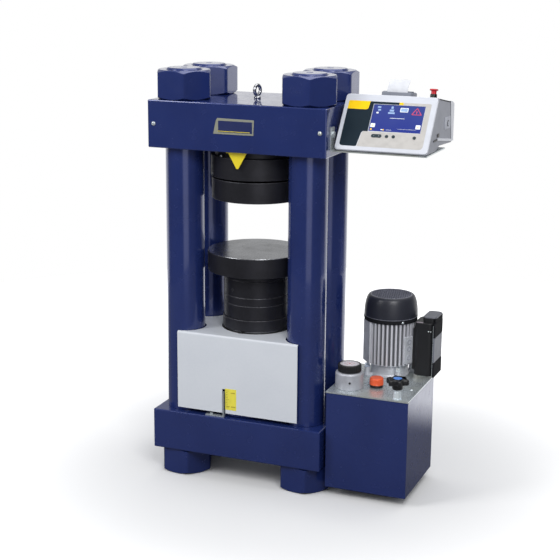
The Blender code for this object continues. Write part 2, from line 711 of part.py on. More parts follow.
def stacked_profile(radius, height, chamfer, with_spigot):
    """Turned outline of a piece with a recess below for the spigot under it, and maybe its own spigot."""
    recess = SPIGOT_DIAMETER / 2 + BORE_CLEARANCE
    recess_top = SPIGOT_HEIGHT + SEAT_GAP
    profile = [
        (0, recess_top),
        (recess, recess_top),
        (recess, 0),
        (radius - chamfer, 0),
        (radius, chamfer),
        (radius, height - chamfer),
        (radius - chamfer, height),
    ]
    if with_spigot:
        spigot = SPIGOT_DIAMETER / 2
        profile += [(spigot, height), (spigot, height + SPIGOT_HEIGHT), (0, height + SPIGOT_HEIGHT)]
    else:
        profile.append((0, height))
    return profile


def build_ram_stack():
    """Distance pieces stacked on the piston, with the lower platen on top."""
    level = PISTON_TOP + SEAT_GAP
    for number, height in enumerate(DISTANCE_PIECE_HEIGHTS, 1):
        diameter = LOWEST_PIECE_DIAMETER if number == 1 else DISTANCE_PIECE_DIAMETER
        profile = stacked_profile(diameter / 2, height, DISTANCE_PIECE_CHAMFER, True)
        name = "distance_piece_" + str(number)
        add_piece(name, turned(name, profile, MEDIUM_STEPS), "black_oxide", (0, 0, level))
        level += height + SEAT_GAP
    profile = stacked_profile(LOWER_PLATEN_DIAMETER / 2, LOWER_PLATEN_THICKNESS, PLATEN_CHAMFER, False)
    add_piece("lower_platen", turned("lower_platen", profile, BIG_STEPS), "black_oxide", (0, 0, level))


def sphere_line(radius, low, high):
    """Points on a sphere about the ball centre, from one height up to another."""
    start = math.asin(low / radius)
    end = math.asin(min(high / radius, 1))
    return arc((0, 0), radius, start, end, BALL_ARC_STEPS)


def build_upper_platen():
    """Platen with a ball top, its seat under the crosshead and the dust ring between them."""
    disc = UPPER_PLATEN_DIAMETER / 2
    thickness = UPPER_PLATEN_THICKNESS
    ball_top = math.sqrt(BALL_RADIUS**2 - BALL_TOP_RADIUS**2)
    profile = [
        (0, 0),
        (disc - PLATEN_CHAMFER, 0),
        (disc, PLATEN_CHAMFER),
        (disc, thickness - PLATEN_CHAMFER),
        (disc - PLATEN_CHAMFER, thickness),
    ]
    profile += sphere_line(BALL_RADIUS, thickness, ball_top)
    profile.append((0, ball_top))
    centre = (0, 0, BALL_CENTRE_Z)
    add_piece("upper_platen", turned("upper_platen", profile, BIG_STEPS), "black_oxide", centre)

    seat_radius = BALL_RADIUS + BALL_CLEARANCE
    bottom = thickness + TILT_GAP
    recess_roof = bottom + DUST_RECESS_DEPTH
    housing = SEAT_HOUSING_DIAMETER / 2
    flange = SEAT_FLANGE_DIAMETER / 2
    housing_top = bottom + SEAT_HOUSING_HEIGHT
    profile = [
        (0, housing_top + SEAT_FLANGE_HEIGHT),
        (flange, housing_top + SEAT_FLANGE_HEIGHT),
        (flange, housing_top),
        (housing - PLATEN_CHAMFER, housing_top),
        (housing, housing_top - PLATEN_CHAMFER),
        (housing, bottom + PLATEN_CHAMFER),
        (housing - PLATEN_CHAMFER, bottom),
        (DUST_RECESS_DIAMETER / 2, bottom),
        (DUST_RECESS_DIAMETER / 2, recess_roof),
    ]
    profile += sphere_line(seat_radius, recess_roof, seat_radius)
    add_piece("ball_seat_housing", turned("ball_seat_housing", profile, BIG_STEPS), "black_oxide", centre)

    low = bottom + DUST_RING_LIFT
    high = low + DUST_RING_THICKNESS
    outer = DUST_RING_DIAMETER / 2
    inner = sphere_line(seat_radius, low, high)
    ring = [inner[0], (outer, low), (outer, high), inner[-1]]
    add_piece("ball_dust_ring", turned("ball_dust_ring", ring, BIG_STEPS, hollow=True), "rubber", centre)


def guard_outline():
    """Side view of the folded sheet: up the front, over the top and down the back."""
    half = PRESS_REACH + GUARD_FRONT_GAP
    bottom = BASE_TOP + GUARD_FLOOR_GAP
    inner_bend = GUARD_BEND - GUARD_SHEET
    centre_z = GUARD_TOP - GUARD_BEND
    centre_y = half - GUARD_BEND
    quarter = math.pi / 2
    outline = [(half, bottom)]
    outline += arc((centre_y, centre_z), GUARD_BEND, 0, quarter, 3)
    outline += arc((-centre_y, centre_z), GUARD_BEND, quarter, 2 * quarter, 3)
    outline += [(-half, bottom), (GUARD_SHEET - half, bottom)]
    outline += arc((-centre_y, centre_z), inner_bend, 2 * quarter, quarter, 3)
    outline += arc((centre_y, centre_z), inner_bend, quarter, 0, 3)
    outline.append((half - GUARD_SHEET, bottom))
    return outline, half, bottom


def build_guard():
    """Sheet cover round the cylinder, cut away at the columns, the ram and the travel notch."""
    outline, half, bottom = guard_outline()
    upright = Matrix(((0, 0, 1, 0), (1, 0, 0, 0), (0, 1, 0, 0), (0, 0, 0, 1)))
    sheet = extruded("cylinder_guard", outline, -GUARD_WIDTH / 2, GUARD_WIDTH / 2, upright)
    guard = add_piece("cylinder_guard", sheet, "grey_paint")
    under = GUARD_TOP - 2 * GUARD_BEND
    over = GUARD_TOP + GUARD_BEND
    relief = ring_outline(COLUMN_DIAMETER / 2 + GUARD_COLUMN_CLEARANCE, MEDIUM_STEPS)
    for place, x, y, _ in column_places():
        name = "guard_relief_" + place
        combine(guard, add_cutter(name, extruded(name, relief, under, over), (x, y, 0)))
    ram_hole = PISTON_DIAMETER / 2 + SLIDING_CLEARANCE + WIPER_WIDTH + 2 * BORE_CLEARANCE
    hole = extruded("guard_ram_hole", ring_outline(ram_hole, BIG_STEPS), under, over)
    combine(guard, add_cutter("guard_ram_hole", hole))
    low = (NOTCH_X - NOTCH_WIDTH / 2, -half - GUARD_SHEET, bottom - GUARD_SHEET)
    high = (NOTCH_X + NOTCH_WIDTH / 2, -half + 2 * GUARD_SHEET, BASE_TOP + NOTCH_TOP_ABOVE_BASE)
    combine(guard, add_cutter("guard_notch", boxed("guard_notch", low, high)))
    return half


def build_travel_bracket(guard_half):
    """Bent strip on the base that stands in the cover's notch, with a slot for its screw."""
    front = -guard_half - BRACKET_FRONT_PROUD
    right = NOTCH_X + BRACKET_SHEET / 2
    left = right - BRACKET_LEG_LENGTH
    low = BASE_TOP + SEAT_GAP
    high = low + BRACKET_RISE
    outline = [
        (left, low),
        (right, low),
        (right, high),
        (right - BRACKET_SHEET, high),
        (right - BRACKET_SHEET, low + BRACKET_SHEET),
        (left, low + BRACKET_SHEET),
    ]
    upright = Matrix(((1, 0, 0, 0), (0, 0, -1, 0), (0, 1, 0, 0), (0, 0, 0, 1)))
    strip = extruded("travel_bracket", outline, -front - BRACKET_WIDTH, -front, upright)
    bracket = add_piece("travel_bracket", strip, "zinc")
    slot_left = left + BRACKET_WIDTH / 2
    slot_low = front + (BRACKET_WIDTH - BRACKET_SLOT_WIDTH) / 2
    slot = rounded_rectangle(
        slot_left, slot_low, BRACKET_SLOT_LENGTH, BRACKET_SLOT_WIDTH, BRACKET_SLOT_WIDTH / 2.01
    )
    hole = extruded("travel_bracket_slot", slot, low - BRACKET_SHEET, low + 2 * BRACKET_SHEET)
    combine(bracket, add_cutter("travel_bracket_slot", hole))


def build_eyebolt():
    """Lifting eyebolt in the middle of the crosshead's top."""
    seat = SEAT_GAP
    ring_height = EYE_COLLAR_HEIGHT + EYE_RING_RADIUS + EYE_WIRE_RADIUS / 2
    profile = [
        (0, -EYE_SHANK_LENGTH),
        (EYE_SHANK_RADIUS, -EYE_SHANK_LENGTH),
        (EYE_SHANK_RADIUS, seat),
        (EYE_COLLAR_RADIUS, seat),
        (EYE_COLLAR_RADIUS, EYE_COLLAR_HEIGHT / 2),
        (EYE_NECK_RADIUS, EYE_COLLAR_HEIGHT),
        (EYE_NECK_RADIUS, ring_height - EYE_RING_RADIUS),
        (0, ring_height - EYE_RING_RADIUS),
    ]
    shank = turned("eyebolt", profile, SMALL_STEPS)
    eyebolt = add_piece("eyebolt", shank, "chrome", (0, 0, CROSSHEAD_TOP))
    section = [(EYE_RING_RADIUS + x, z) for x, z in ring_outline(EYE_WIRE_RADIUS, 10)]
    ring = turned("eyebolt_ring", section, SMALL_STEPS, hollow=True)
    place = (0, 0, CROSSHEAD_TOP + ring_height)
    cutter = add_cutter("eyebolt_ring", ring, place, (math.pi / 2, 0, EYE_TURN))
    combine(eyebolt, cutter, "UNION")


def build_pointer():
    """Bent plate under the crosshead whose tip marks the centre of the platens."""
    top = CROSSHEAD_BOTTOM - SEAT_GAP
    front = POINTER_SET_BACK - CROSSHEAD_DEPTH / 2
    half = POINTER_WIDTH / 2
    slope = math.atan2(POINTER_DROP, half)
    tip_centre = -POINTER_DROP + POINTER_TIP_RADIUS / math.cos(slope)
    lean = math.pi / 2 - slope
    tip = arc((0, tip_centre), POINTER_TIP_RADIUS, -math.pi + lean, -lean, 6)
    outline = [(half, 0), (-half, 0)] + tip
    upright = Matrix(((1, 0, 0, 0), (0, 0, -1, front), (0, 1, 0, top), (0, 0, 0, 1)))
    plate = extruded("centre_pointer", outline, -POINTER_SHEET, 0, upright)
    pointer = add_piece("centre_pointer", plate, "yellow")
    low = (-half, front - POINTER_FOLD, top - POINTER_SHEET)
    high = (half, front + POINTER_SHEET, top)
    combine(pointer, add_cutter("pointer_fold", boxed("pointer_fold", low, high)), "UNION")


def build_tank():
    """Open-topped sheet tank on its two runners, with the lid that carries the power pack."""
    right = TANK_LEFT_X + TANK_WIDTH
    rear = TANK_FRONT_Y + TANK_DEPTH
    low = (TANK_LEFT_X, TANK_FRONT_Y, TANK_BOTTOM)
    tank = add_piece("oil_tank", boxed("oil_tank", low, (right, rear, TANK_TOP)), "blue_paint")
    break_edges(tank, TANK_EDGE)
    inner_low = Vector(low) + Vector((TANK_SHEET, TANK_SHEET, TANK_SHEET))
    inner_high = (right - TANK_SHEET, rear - TANK_SHEET, TANK_TOP + TANK_SHEET)
    combine(tank, add_cutter("tank_hollow", boxed("tank_hollow", inner_low, inner_high)))
    for side, x in (("left", TANK_LEFT_X + RUNNER_INSET), ("right", right - RUNNER_INSET - RUNNER_WIDTH)):
        name = "tank_runner_" + side
        start = (x, TANK_FRONT_Y + RUNNER_END_INSET, 0)
        end = (x + RUNNER_WIDTH, rear - RUNNER_END_INSET, RUNNER_HEIGHT)
        add_piece(name, boxed(name, start, end), "rubber")
    start = (TANK_LEFT_X - LID_OVERHANG, TANK_FRONT_Y - LID_OVERHANG, LID_BOTTOM)
    end = (right + LID_OVERHANG, rear + LID_REAR_OVERHANG, LID_TOP)
    lid = add_piece("tank_lid", boxed("tank_lid", start, end), "zinc")
    pump_hole = PUMP_DIAMETER / 2 + BORE_CLEARANCE
    filler_hole = FILLER_BORE_DIAMETER / 2
    under = LID_BOTTOM - LID_THICKNESS
    over = LID_TOP + LID_THICKNESS
    for name, x, y, radius in (
        ("lid_pump_hole", MOTOR_X, MOTOR_Y, pump_hole),
        ("lid_filler_hole", FILLER_X, FILLER_Y, filler_hole),
    ):
        hole = extruded(name, ring_outline(radius, SMALL_STEPS), under, over)
        combine(lid, add_cutter(name, hole, (x, y, 0)))


def build_pump():
    """Pump hanging through the lid under the motor, with its suction pipe and strainer."""
    pump = PUMP_DIAMETER / 2
    pipe = SUCTION_PIPE_DIAMETER / 2
    strainer = STRAINER_DIAMETER / 2
    pump_bottom = LID_TOP - PUMP_LENGTH
    foot = TANK_BOTTOM + TANK_SHEET + STRAINER_FLOOR_GAP
    profile = [
        (0, foot),
        (strainer, foot),
        (strainer, foot + STRAINER_HEIGHT),
        (pipe, foot + STRAINER_HEIGHT),
        (pipe, pump_bottom),
        (pump, pump_bottom),
        (pump, LID_TOP),
        (0, LID_TOP),
    ]
    mesh = turned("pump_and_strainer", profile, SMALL_STEPS)
    add_piece("pump_and_strainer", mesh, "cast_aluminium", (MOTOR_X, MOTOR_Y, 0))


def finned_outline():
    """Outline of the motor housing: a round root with even fins."""
    points = []
    pitch = 2 * math.pi / FIN_COUNT
    half_fin = pitch * FIN_SHARE / 2
    for fin in range(FIN_COUNT):
        middle = fin * pitch
        for radius, angle in (
            (FIN_ROOT_DIAMETER / 2, middle - half_fin),
            (FIN_TIP_DIAMETER / 2, middle - half_fin),
            (FIN_TIP_DIAMETER / 2, middle + half_fin),
            (FIN_ROOT_DIAMETER / 2, middle + half_fin),
        ):
            points.append((radius * math.cos(angle), radius * math.sin(angle)))
    return points


def build_motor():
    """Flange collar with four lugs, finned housing and the shaft through them."""
    axis = (MOTOR_X, MOTOR_Y)
    collar_bottom = FITTING_BOTTOM
    collar_top = collar_bottom + COLLAR_HEIGHT
    collar = extruded("motor_flange", ring_outline(COLLAR_DIAMETER / 2, MEDIUM_STEPS), 0, COLLAR_HEIGHT)
    flange = add_piece("motor_flange", collar, "cast_aluminium", (*axis, collar_bottom))
    for number in range(4):
        name = "motor_lug_" + str(number + 1)
        ear = boxed(name, (0, -LUG_WIDTH / 2, 0), (LUG_RADIUS, LUG_WIDTH / 2, COLLAR_FOOT_HEIGHT))
        turn = math.pi / 4 + number * math.pi / 2
        combine(flange, add_cutter(name, ear, (*axis, collar_bottom), (0, 0, turn)), "UNION")
        name = "motor_lug_stud_" + str(number + 1)
        post = extruded(name, ring_outline(LUG_HEAD_RADIUS, 6), COLLAR_FOOT_HEIGHT / 2, LUG_HEIGHT)
        reach = LUG_RADIUS - LUG_WIDTH / 2
        place = (MOTOR_X + reach * math.cos(turn), MOTOR_Y + reach * math.sin(turn), collar_bottom)
        combine(flange, add_cutter(name, post, place, (0, 0, turn)), "UNION")

    body_bottom = collar_top + SEAT_GAP
    housing = extruded("motor_body", finned_outline(), 0, MOTOR_BODY_HEIGHT)
    body = add_piece("motor_body", housing, "cast_aluminium", (*axis, body_bottom))
    pad_reach = FIN_TIP_DIAMETER / 2
    pad_low = (pad_reach / 2, -MOTOR_PAD_WIDTH / 2, MOTOR_PAD_RISE)
    pad_high = (pad_reach, MOTOR_PAD_WIDTH / 2, MOTOR_PAD_RISE + MOTOR_PAD_HEIGHT)
    pad = boxed("motor_pad", pad_low, pad_high)
    combine(body, add_cutter("motor_pad", pad, (*axis, body_bottom), (0, 0, MOTOR_PAD_ANGLE)), "UNION")
    shaft = SHAFT_DIAMETER / 2
    bore_bottom = COLLAR_HEIGHT
    bore_outline = ring_outline(shaft + SLIDING_CLEARANCE, SMALL_STEPS)
    bore = extruded("motor_bore", bore_outline, bore_bottom, MOTOR_BODY_HEIGHT + FAN_LIFT)
    combine(body, add_cutter("motor_bore", bore, (*axis, body_bottom)))
    body_top = body_bottom + MOTOR_BODY_HEIGHT
    low = bore_bottom + SEAT_GAP
    high = MOTOR_BODY_HEIGHT + FAN_LIFT + FAN_HEIGHT - SEAT_GAP
    rod = extruded("motor_shaft", ring_outline(shaft, SMALL_STEPS), low, high)
    add_piece("motor_shaft", rod, "ground_steel", (*axis, body_bottom))
    return body_top


def fan_outline():
    """Outline of a hub with straight radial blades."""
    hub = FAN_HUB_DIAMETER / 2
    tip = FAN_DIAMETER / 2
    half_blade = FAN_BLADE_THICKNESS / 2
    reach = math.sqrt(hub**2 - half_blade**2)
    points = []
    for blade in range(FAN_BLADES):
        turn = 2 * math.pi * blade / FAN_BLADES
        for x, y in ((reach, -half_blade), (tip, -half_blade), (tip, half_blade), (reach, half_blade)):
            points.append((x * math.cos(turn) - y * math.sin(turn), x * math.sin(turn) + y * math.cos(turn)))
        gap_middle = turn + math.pi / FAN_BLADES
        points.append((hub * math.cos(gap_middle), hub * math.sin(gap_middle)))
    return points


def cowl_lines():
    """Outer line of the fan cowl from its band up over the shoulder to the grille."""
    band = COWL_BAND_DIAMETER / 2
    lip = COWL_DIAMETER / 2
    top = COWL_TOP_DIAMETER / 2
    shoulder = COWL_HEIGHT - COWL_BAND_HEIGHT
    line = [(band, 0), (band, COWL_BAND_HEIGHT), (lip, COWL_BAND_HEIGHT)]
    for step in range(1, COWL_CURVE_STEPS + 1):
        turn = step / COWL_CURVE_STEPS * math.pi / 2
        line.append((top + (lip - top) * math.cos(turn), COWL_BAND_HEIGHT + shoulder * math.sin(turn)))
    return line


def build_fan(body_top):
    """Cooling fan on the shaft, under a cowl with slots across its top."""
    axis = (MOTOR_X, MOTOR_Y)
    bore = SHAFT_DIAMETER / 2 + SEAT_GAP
    rotor = extruded("cooling_fan", fan_outline(), 0, FAN_HEIGHT)
    fan = add_piece("cooling_fan", rotor, "black_plastic", (*axis, body_top + FAN_LIFT))
    hole = extruded("fan_bore", ring_outline(bore, SMALL_STEPS), -FAN_LIFT, FAN_HEIGHT + FAN_LIFT)
    combine(fan, add_cutter("fan_bore", hole, (*axis, body_top + FAN_LIFT)))

    outer = cowl_lines()
    inner_band = (FIN_TIP_DIAMETER / 2 + SEAT_GAP) / math.cos(math.pi / MEDIUM_STEPS)
    inner = [(radius - COWL_WALL, height - COWL_WALL) for radius, height in outer[3:]]
    profile = [(inner_band, 0)] + outer + [(0, COWL_HEIGHT), (0, COWL_HEIGHT - COWL_WALL)]
    profile += inner[::-1] + [(outer[2][0] - 2 * COWL_WALL, COWL_BAND_HEIGHT), (inner_band, COWL_BAND_HEIGHT)]
    cowl = turned("fan_cowl", profile, MEDIUM_STEPS, hollow=True)
    bottom = body_top - COWL_BAND_HEIGHT
    piece = add_piece("fan_cowl", cowl, "black_plastic", (*axis, bottom))
    grille = COWL_GRILLE_DIAMETER / 2
    for row in range(COWL_SLOTS):
        offset = (row - (COWL_SLOTS - 1) / 2) * COWL_SLOT_PITCH
        half_length = math.sqrt(grille**2 - offset**2)
        name = "cowl_slot_" + str(row + 1)
        low = (-half_length, offset - COWL_SLOT_WIDTH / 2, COWL_HEIGHT - 2 * COWL_WALL)
        high = (half_length, offset + COWL_SLOT_WIDTH / 2, COWL_HEIGHT + COWL_WALL)
        combine(piece, add_cutter(name, boxed(name, low, high), (*axis, bottom)))


def build_switch_box(body_top):
    """Black switch and capacitor box on the motor's right, with its grey cover."""
    left = MOTOR_X + COWL_DIAMETER / 2 + SWITCH_BOX_GAP
    front = MOTOR_Y - SWITCH_BOX_DEPTH / 2 + SWITCH_BOX_SET_BACK
    low = LID_TOP + SWITCH_BOX_LIFT
    ledge = body_top - SWITCH_LEDGE_DROP
    head_top = ledge + SWITCH_HEAD_HEIGHT
    right = left + SWITCH_BOX_WIDTH
    rear = front + SWITCH_BOX_DEPTH
    quarter = math.pi / 2
    corner = SWITCH_BOX_CORNER
    outline = arc((left + corner, front + corner), corner, 2 * quarter, 3 * quarter, 4)
    outline += arc((right - corner, front + corner), corner, 3 * quarter, 4 * quarter, 4)
    outline += [(right, rear), (left, rear)]
    box = add_piece("switch_box", extruded("switch_box", outline, low, ledge), "black_plastic")
    neck_top = body_top - COWL_BAND_HEIGHT - SWITCH_NECK_DROP
    neck_left = MOTOR_X + FIN_TIP_DIAMETER / 2 + SEAT_GAP
    neck_start = (neck_left, MOTOR_Y - SWITCH_NECK_WIDTH / 2, low + SWITCH_NECK_DROP)
    neck_end = (left + corner, MOTOR_Y + SWITCH_NECK_WIDTH / 2, neck_top)
    combine(box, add_cutter("switch_box_neck", boxed("switch_box_neck", neck_start, neck_end)), "UNION")
    head_left = right - SWITCH_COVER_REACH
    head_front = front + SWITCH_HEAD_SET_BACK
    head_start = (head_left, head_front, ledge - SWITCH_HEAD_HEIGHT)
    head_end = (right, rear, head_top)
    combine(box, add_cutter("switch_box_head", boxed("switch_box_head", head_start, head_end)), "UNION")

    start = right + SEAT_GAP
    end = start + SWITCH_COVER_SHEET
    overhang = (SWITCH_COVER_DEPTH - SWITCH_BOX_DEPTH) / 2
    side = boxed("switch_cover", (start, front - overhang, low - overhang), (end, rear + overhang, ledge))
    cover = add_piece("switch_cover", side, "grey_plastic")
    cap_top = head_top + SEAT_GAP + SWITCH_COVER_CAP
    section = [
        (start, ledge - SWITCH_HEAD_HEIGHT),
        (end, ledge - SWITCH_HEAD_HEIGHT),
        (end, cap_top - SWITCH_COVER_CAP),
        (end - SWITCH_COVER_SHEET, cap_top),
        (head_left, cap_top),
        (head_left, head_top + SEAT_GAP),
        (start, head_top + SEAT_GAP),
    ]
    upright = Matrix(((1, 0, 0, 0), (0, 0, 1, 0), (0, 1, 0, 0), (0, 0, 0, 1)))
    cap = extruded("switch_cover_cap", section, head_front - overhang, rear + overhang, upright)
    combine(cover, add_cutter("switch_cover_cap", cap), "UNION")


def build_flow_valve():
    """Round valve body with a spindle, and the knurled knob with a dished top on it."""
    radius = VALVE_DIAMETER / 2
    spindle = SPINDLE_DIAMETER / 2
    profile = disc_profile(radius, 0, VALVE_HEIGHT, VALVE_CHAMFER)[:-1]
    spindle_top = VALVE_HEIGHT + SPINDLE_HEIGHT
    profile += [(spindle, VALVE_HEIGHT), (spindle, spindle_top), (0, spindle_top)]
    place = (VALVE_X, VALVE_Y, FITTING_BOTTOM)
    valve = add_piece("valve_body", turned("valve_body", profile, MEDIUM_STEPS), "cast_aluminium", place)
    port = ring_outline(VALVE_PORT_DIAMETER / 2, 10)
    sideways = Matrix.Rotation(math.pi / 2, 4, "Y")
    drill = extruded("valve_port", port, radius - VALVE_PORT_DEPTH, radius + VALVE_PORT_DEPTH, sideways)
    port_place = (VALVE_X, VALVE_Y, FITTING_BOTTOM + VALVE_PORT_HEIGHT)
    combine(valve, add_cutter("valve_port", drill, port_place, (0, 0, VALVE_PORT_ANGLE)))

    knob_bottom = FITTING_BOTTOM + VALVE_HEIGHT + SEAT_GAP
    outline = []
    for tooth in range(FLOW_KNOB_TEETH):
        for share, radius in ((0.0, FLOW_KNOB_DIAMETER / 2), (0.5, FLOW_KNOB_DIAMETER / 2 - FLOW_KNOB_TOOTH)):
            angle = 2 * math.pi * (tooth + share) / FLOW_KNOB_TEETH
            outline.append((radius * math.cos(angle), radius * math.sin(angle)))
    place = (VALVE_X, VALVE_Y, knob_bottom)
    knob = add_piece("flow_knob", extruded("flow_knob", outline, 0, FLOW_KNOB_HEIGHT), "black_plastic", place)
    socket = ring_outline(spindle + SLIDING_CLEARANCE, SMALL_STEPS)
    recess = extruded("flow_knob_recess", socket, -SPINDLE_HEIGHT, SPINDLE_HEIGHT + SEAT_GAP)
    combine(knob, add_cutter("flow_knob_recess", recess, place))
    rim = ring_outline(FLOW_KNOB_DISH_DIAMETER / 2, MEDIUM_STEPS)
    dish_floor = FLOW_KNOB_HEIGHT - FLOW_KNOB_DISH_DEPTH
    dish = extruded("flow_knob_dish", rim, dish_floor, FLOW_KNOB_HEIGHT + FLOW_KNOB_DISH_DEPTH)
    combine(knob, add_cutter("flow_knob_dish", dish, place))


def build_filler():
    """Filler neck on the lid and the cap that lifts off its spigot."""
    neck = FILLER_NECK_DIAMETER / 2
    spigot = FILLER_SPIGOT_DIAMETER / 2
    bore = FILLER_BORE_DIAMETER / 2
    spigot_top = FILLER_NECK_HEIGHT + FILLER_SPIGOT_HEIGHT
    profile = [
        (bore, 0),
        (neck, 0),
        (neck, FILLER_NECK_HEIGHT),
        (spigot, FILLER_NECK_HEIGHT),
        (spigot, spigot_top),
        (bore, spigot_top),
    ]
    place = (FILLER_X, FILLER_Y, FITTING_BOTTOM)
    add_piece("filler_neck", turned("filler_neck", profile, SMALL_STEPS, hollow=True), "black_plastic", place)
    cap = FILLER_CAP_DIAMETER / 2
    inner = spigot + SLIDING_CLEARANCE
    roof = FILLER_SPIGOT_HEIGHT + SEAT_GAP
    profile = [
        (0, roof),
        (inner, roof),
        (inner, 0),
        (cap, 0),
        (cap, FILLER_CAP_HEIGHT - FILLER_CAP_EDGE),
        (cap - FILLER_CAP_EDGE, FILLER_CAP_HEIGHT),
        (0, FILLER_CAP_HEIGHT),
    ]
    place = (FILLER_X, FILLER_Y, FITTING_BOTTOM + FILLER_NECK_HEIGHT + SEAT_GAP)
    add_piece("filler_cap", turned("filler_cap", profile, SMALL_STEPS), "orange_plastic", place)


def build_release_valve():
    """Hexagonal valve fitting with a spindle, and the lobed knob that turns it."""
    place = (RELEASE_X, RELEASE_Y, FITTING_BOTTOM)
    corner = RELEASE_HEX_WIDTH / 2 / math.cos(math.pi / 6)
    hexagon = extruded("release_valve", ring_outline(corner, 6), 0, RELEASE_HEX_HEIGHT)
    fitting = add_piece("release_valve", hexagon, "zinc", place)
    neck_top = RELEASE_HEX_HEIGHT + RELEASE_NECK_HEIGHT
    neck = RELEASE_NECK_DIAMETER / 2
    spindle = RELEASE_SPINDLE_DIAMETER / 2
    half_hex = RELEASE_HEX_HEIGHT / 2
    spindle_top = neck_top + RELEASE_SPINDLE_HEIGHT
    profile = [
        (0, half_hex),
        (neck, half_hex),
        (neck, neck_top),
        (spindle, neck_top),
        (spindle, spindle_top),
        (0, spindle_top),
    ]
    stem = turned("release_valve_stem", profile, SMALL_STEPS)
    combine(fitting, add_cutter("release_valve_stem", stem, place), "UNION")

    knob_place = (RELEASE_X, RELEASE_Y, FITTING_BOTTOM + neck_top + SEAT_GAP)
    wheel_bottom = LOBED_KNOB_HUB_HEIGHT
    wheel_top = wheel_bottom + LOBED_KNOB_HEIGHT
    hub_outline = ring_outline(LOBED_KNOB_HUB_DIAMETER / 2, SMALL_STEPS)
    hub = extruded("lobed_knob", hub_outline, 0, (wheel_bottom + wheel_top) / 2)
    knob = add_piece("lobed_knob", hub, "black_plastic", knob_place)
    outline = []
    points = LOBED_KNOB_LOBES * 8
    middle = LOBED_KNOB_DIAMETER / 2 - LOBED_KNOB_WAVE
    for step in range(points):
        angle = 2 * math.pi * step / points
        radius = middle + LOBED_KNOB_WAVE * math.cos(LOBED_KNOB_LOBES * angle)
        outline.append((radius * math.cos(angle), radius * math.sin(angle)))
    wheel = extruded("lobed_knob_wheel", outline, wheel_bottom, wheel_top)
    combine(knob, add_cutter("lobed_knob_wheel", wheel, knob_place), "UNION")
    bore = ring_outline(spindle + SLIDING_CLEARANCE, SMALL_STEPS)
    socket = extruded("lobed_knob_socket", bore, -neck_top, RELEASE_SPINDLE_HEIGHT + SEAT_GAP)
    combine(knob, add_cutter("lobed_knob_socket", socket, knob_place))


def console_frame():
    """Empty at the bezel's lower left corner: X along the bezel, Y up its slope, Z out of its face."""
    frame = bpy.data.objects.new("console_frame", None)
    frame.location = (CONSOLE_X, CONSOLE_Y, CONSOLE_Z)
    frame.rotation_euler = (math.pi / 2 - CONSOLE_TILT, 0, 0)
    bpy.context.collection.objects.link(frame)
    return frame


def build_bezel(frame):
    """Front moulding with a recess for the screen and a well for each key."""
    outline = rounded_rectangle(0, 0, BEZEL_WIDTH, BEZEL_HEIGHT, BEZEL_CORNER)
    front = extruded("console_bezel", outline, -BEZEL_THICKNESS, 0)
    bezel = add_piece("console_bezel", front, "white_plastic", parent=frame)
    break_edges(bezel, BEZEL_EDGE)
    screen_right = SCREEN_LEFT + SCREEN_WIDTH
    screen_top = SCREEN_BOTTOM + SCREEN_HEIGHT
    depth = SCREEN_THICKNESS + PANEL_RECESS + SEAT_GAP
    well_low = (SCREEN_LEFT - SEAT_GAP, SCREEN_BOTTOM - SEAT_GAP, -depth)
    well_high = (screen_right + SEAT_GAP, screen_top + SEAT_GAP, depth)
    combine(bezel, add_cutter("screen_recess", boxed("screen_recess", well_low, well_high), parent=frame))
    glass_low = (SCREEN_LEFT, SCREEN_BOTTOM, -PANEL_RECESS - SCREEN_THICKNESS)
    glass = boxed("display_screen", glass_low, (screen_right, screen_top, -PANEL_RECESS))
    add_piece("display_screen", glass, "screen_glass", parent=frame)
    well_depth = KEY_BODY - KEY_PROUD + KEY_TRAVEL + SEAT_GAP
    for name, outline, wide, place in key_outlines():
        hole = extruded(name + "_well", wide, -well_depth, well_depth)
        combine(bezel, add_cutter(name + "_well", hole, (place, KEY_ROW, 0), parent=frame))
        cap = extruded(name, outline, KEY_PROUD - KEY_BODY, KEY_PROUD)
        add_piece(name, cap, "black_plastic", (place, KEY_ROW, 0), parent=frame)


def key_outlines():
    """Name, cap outline, well outline and place of each key in the row under the screen."""
    width = PILL_KEY_WIDTH
    height = PILL_KEY_HEIGHT
    room = KEY_CLEARANCE
    pill = rounded_rectangle(-width / 2, -height / 2, width, height, height / 2.01, 5)
    width += 2 * room
    height += 2 * room
    wide = rounded_rectangle(-width / 2, -height / 2, width, height, height / 2.01, 5)
    yield "menu_key", pill, wide, PILL_KEY_PLACE
    radius = ROUND_KEY_DIAMETER / 2
    for name, place in zip(("start_key", "stop_key", "power_key"), ROUND_KEY_PLACES):
        yield name, ring_outline(radius, SMALL_STEPS), ring_outline(radius + room, SMALL_STEPS), place


def behind_bezel(along, back):
    """Side view (y, z) of a point that far up the bezel's slope and that far behind its face."""
    sine = math.sin(CONSOLE_TILT)
    cosine = math.cos(CONSOLE_TILT)
    return CONSOLE_Y + along * sine + back * cosine, CONSOLE_Z + along * cosine - back * sine


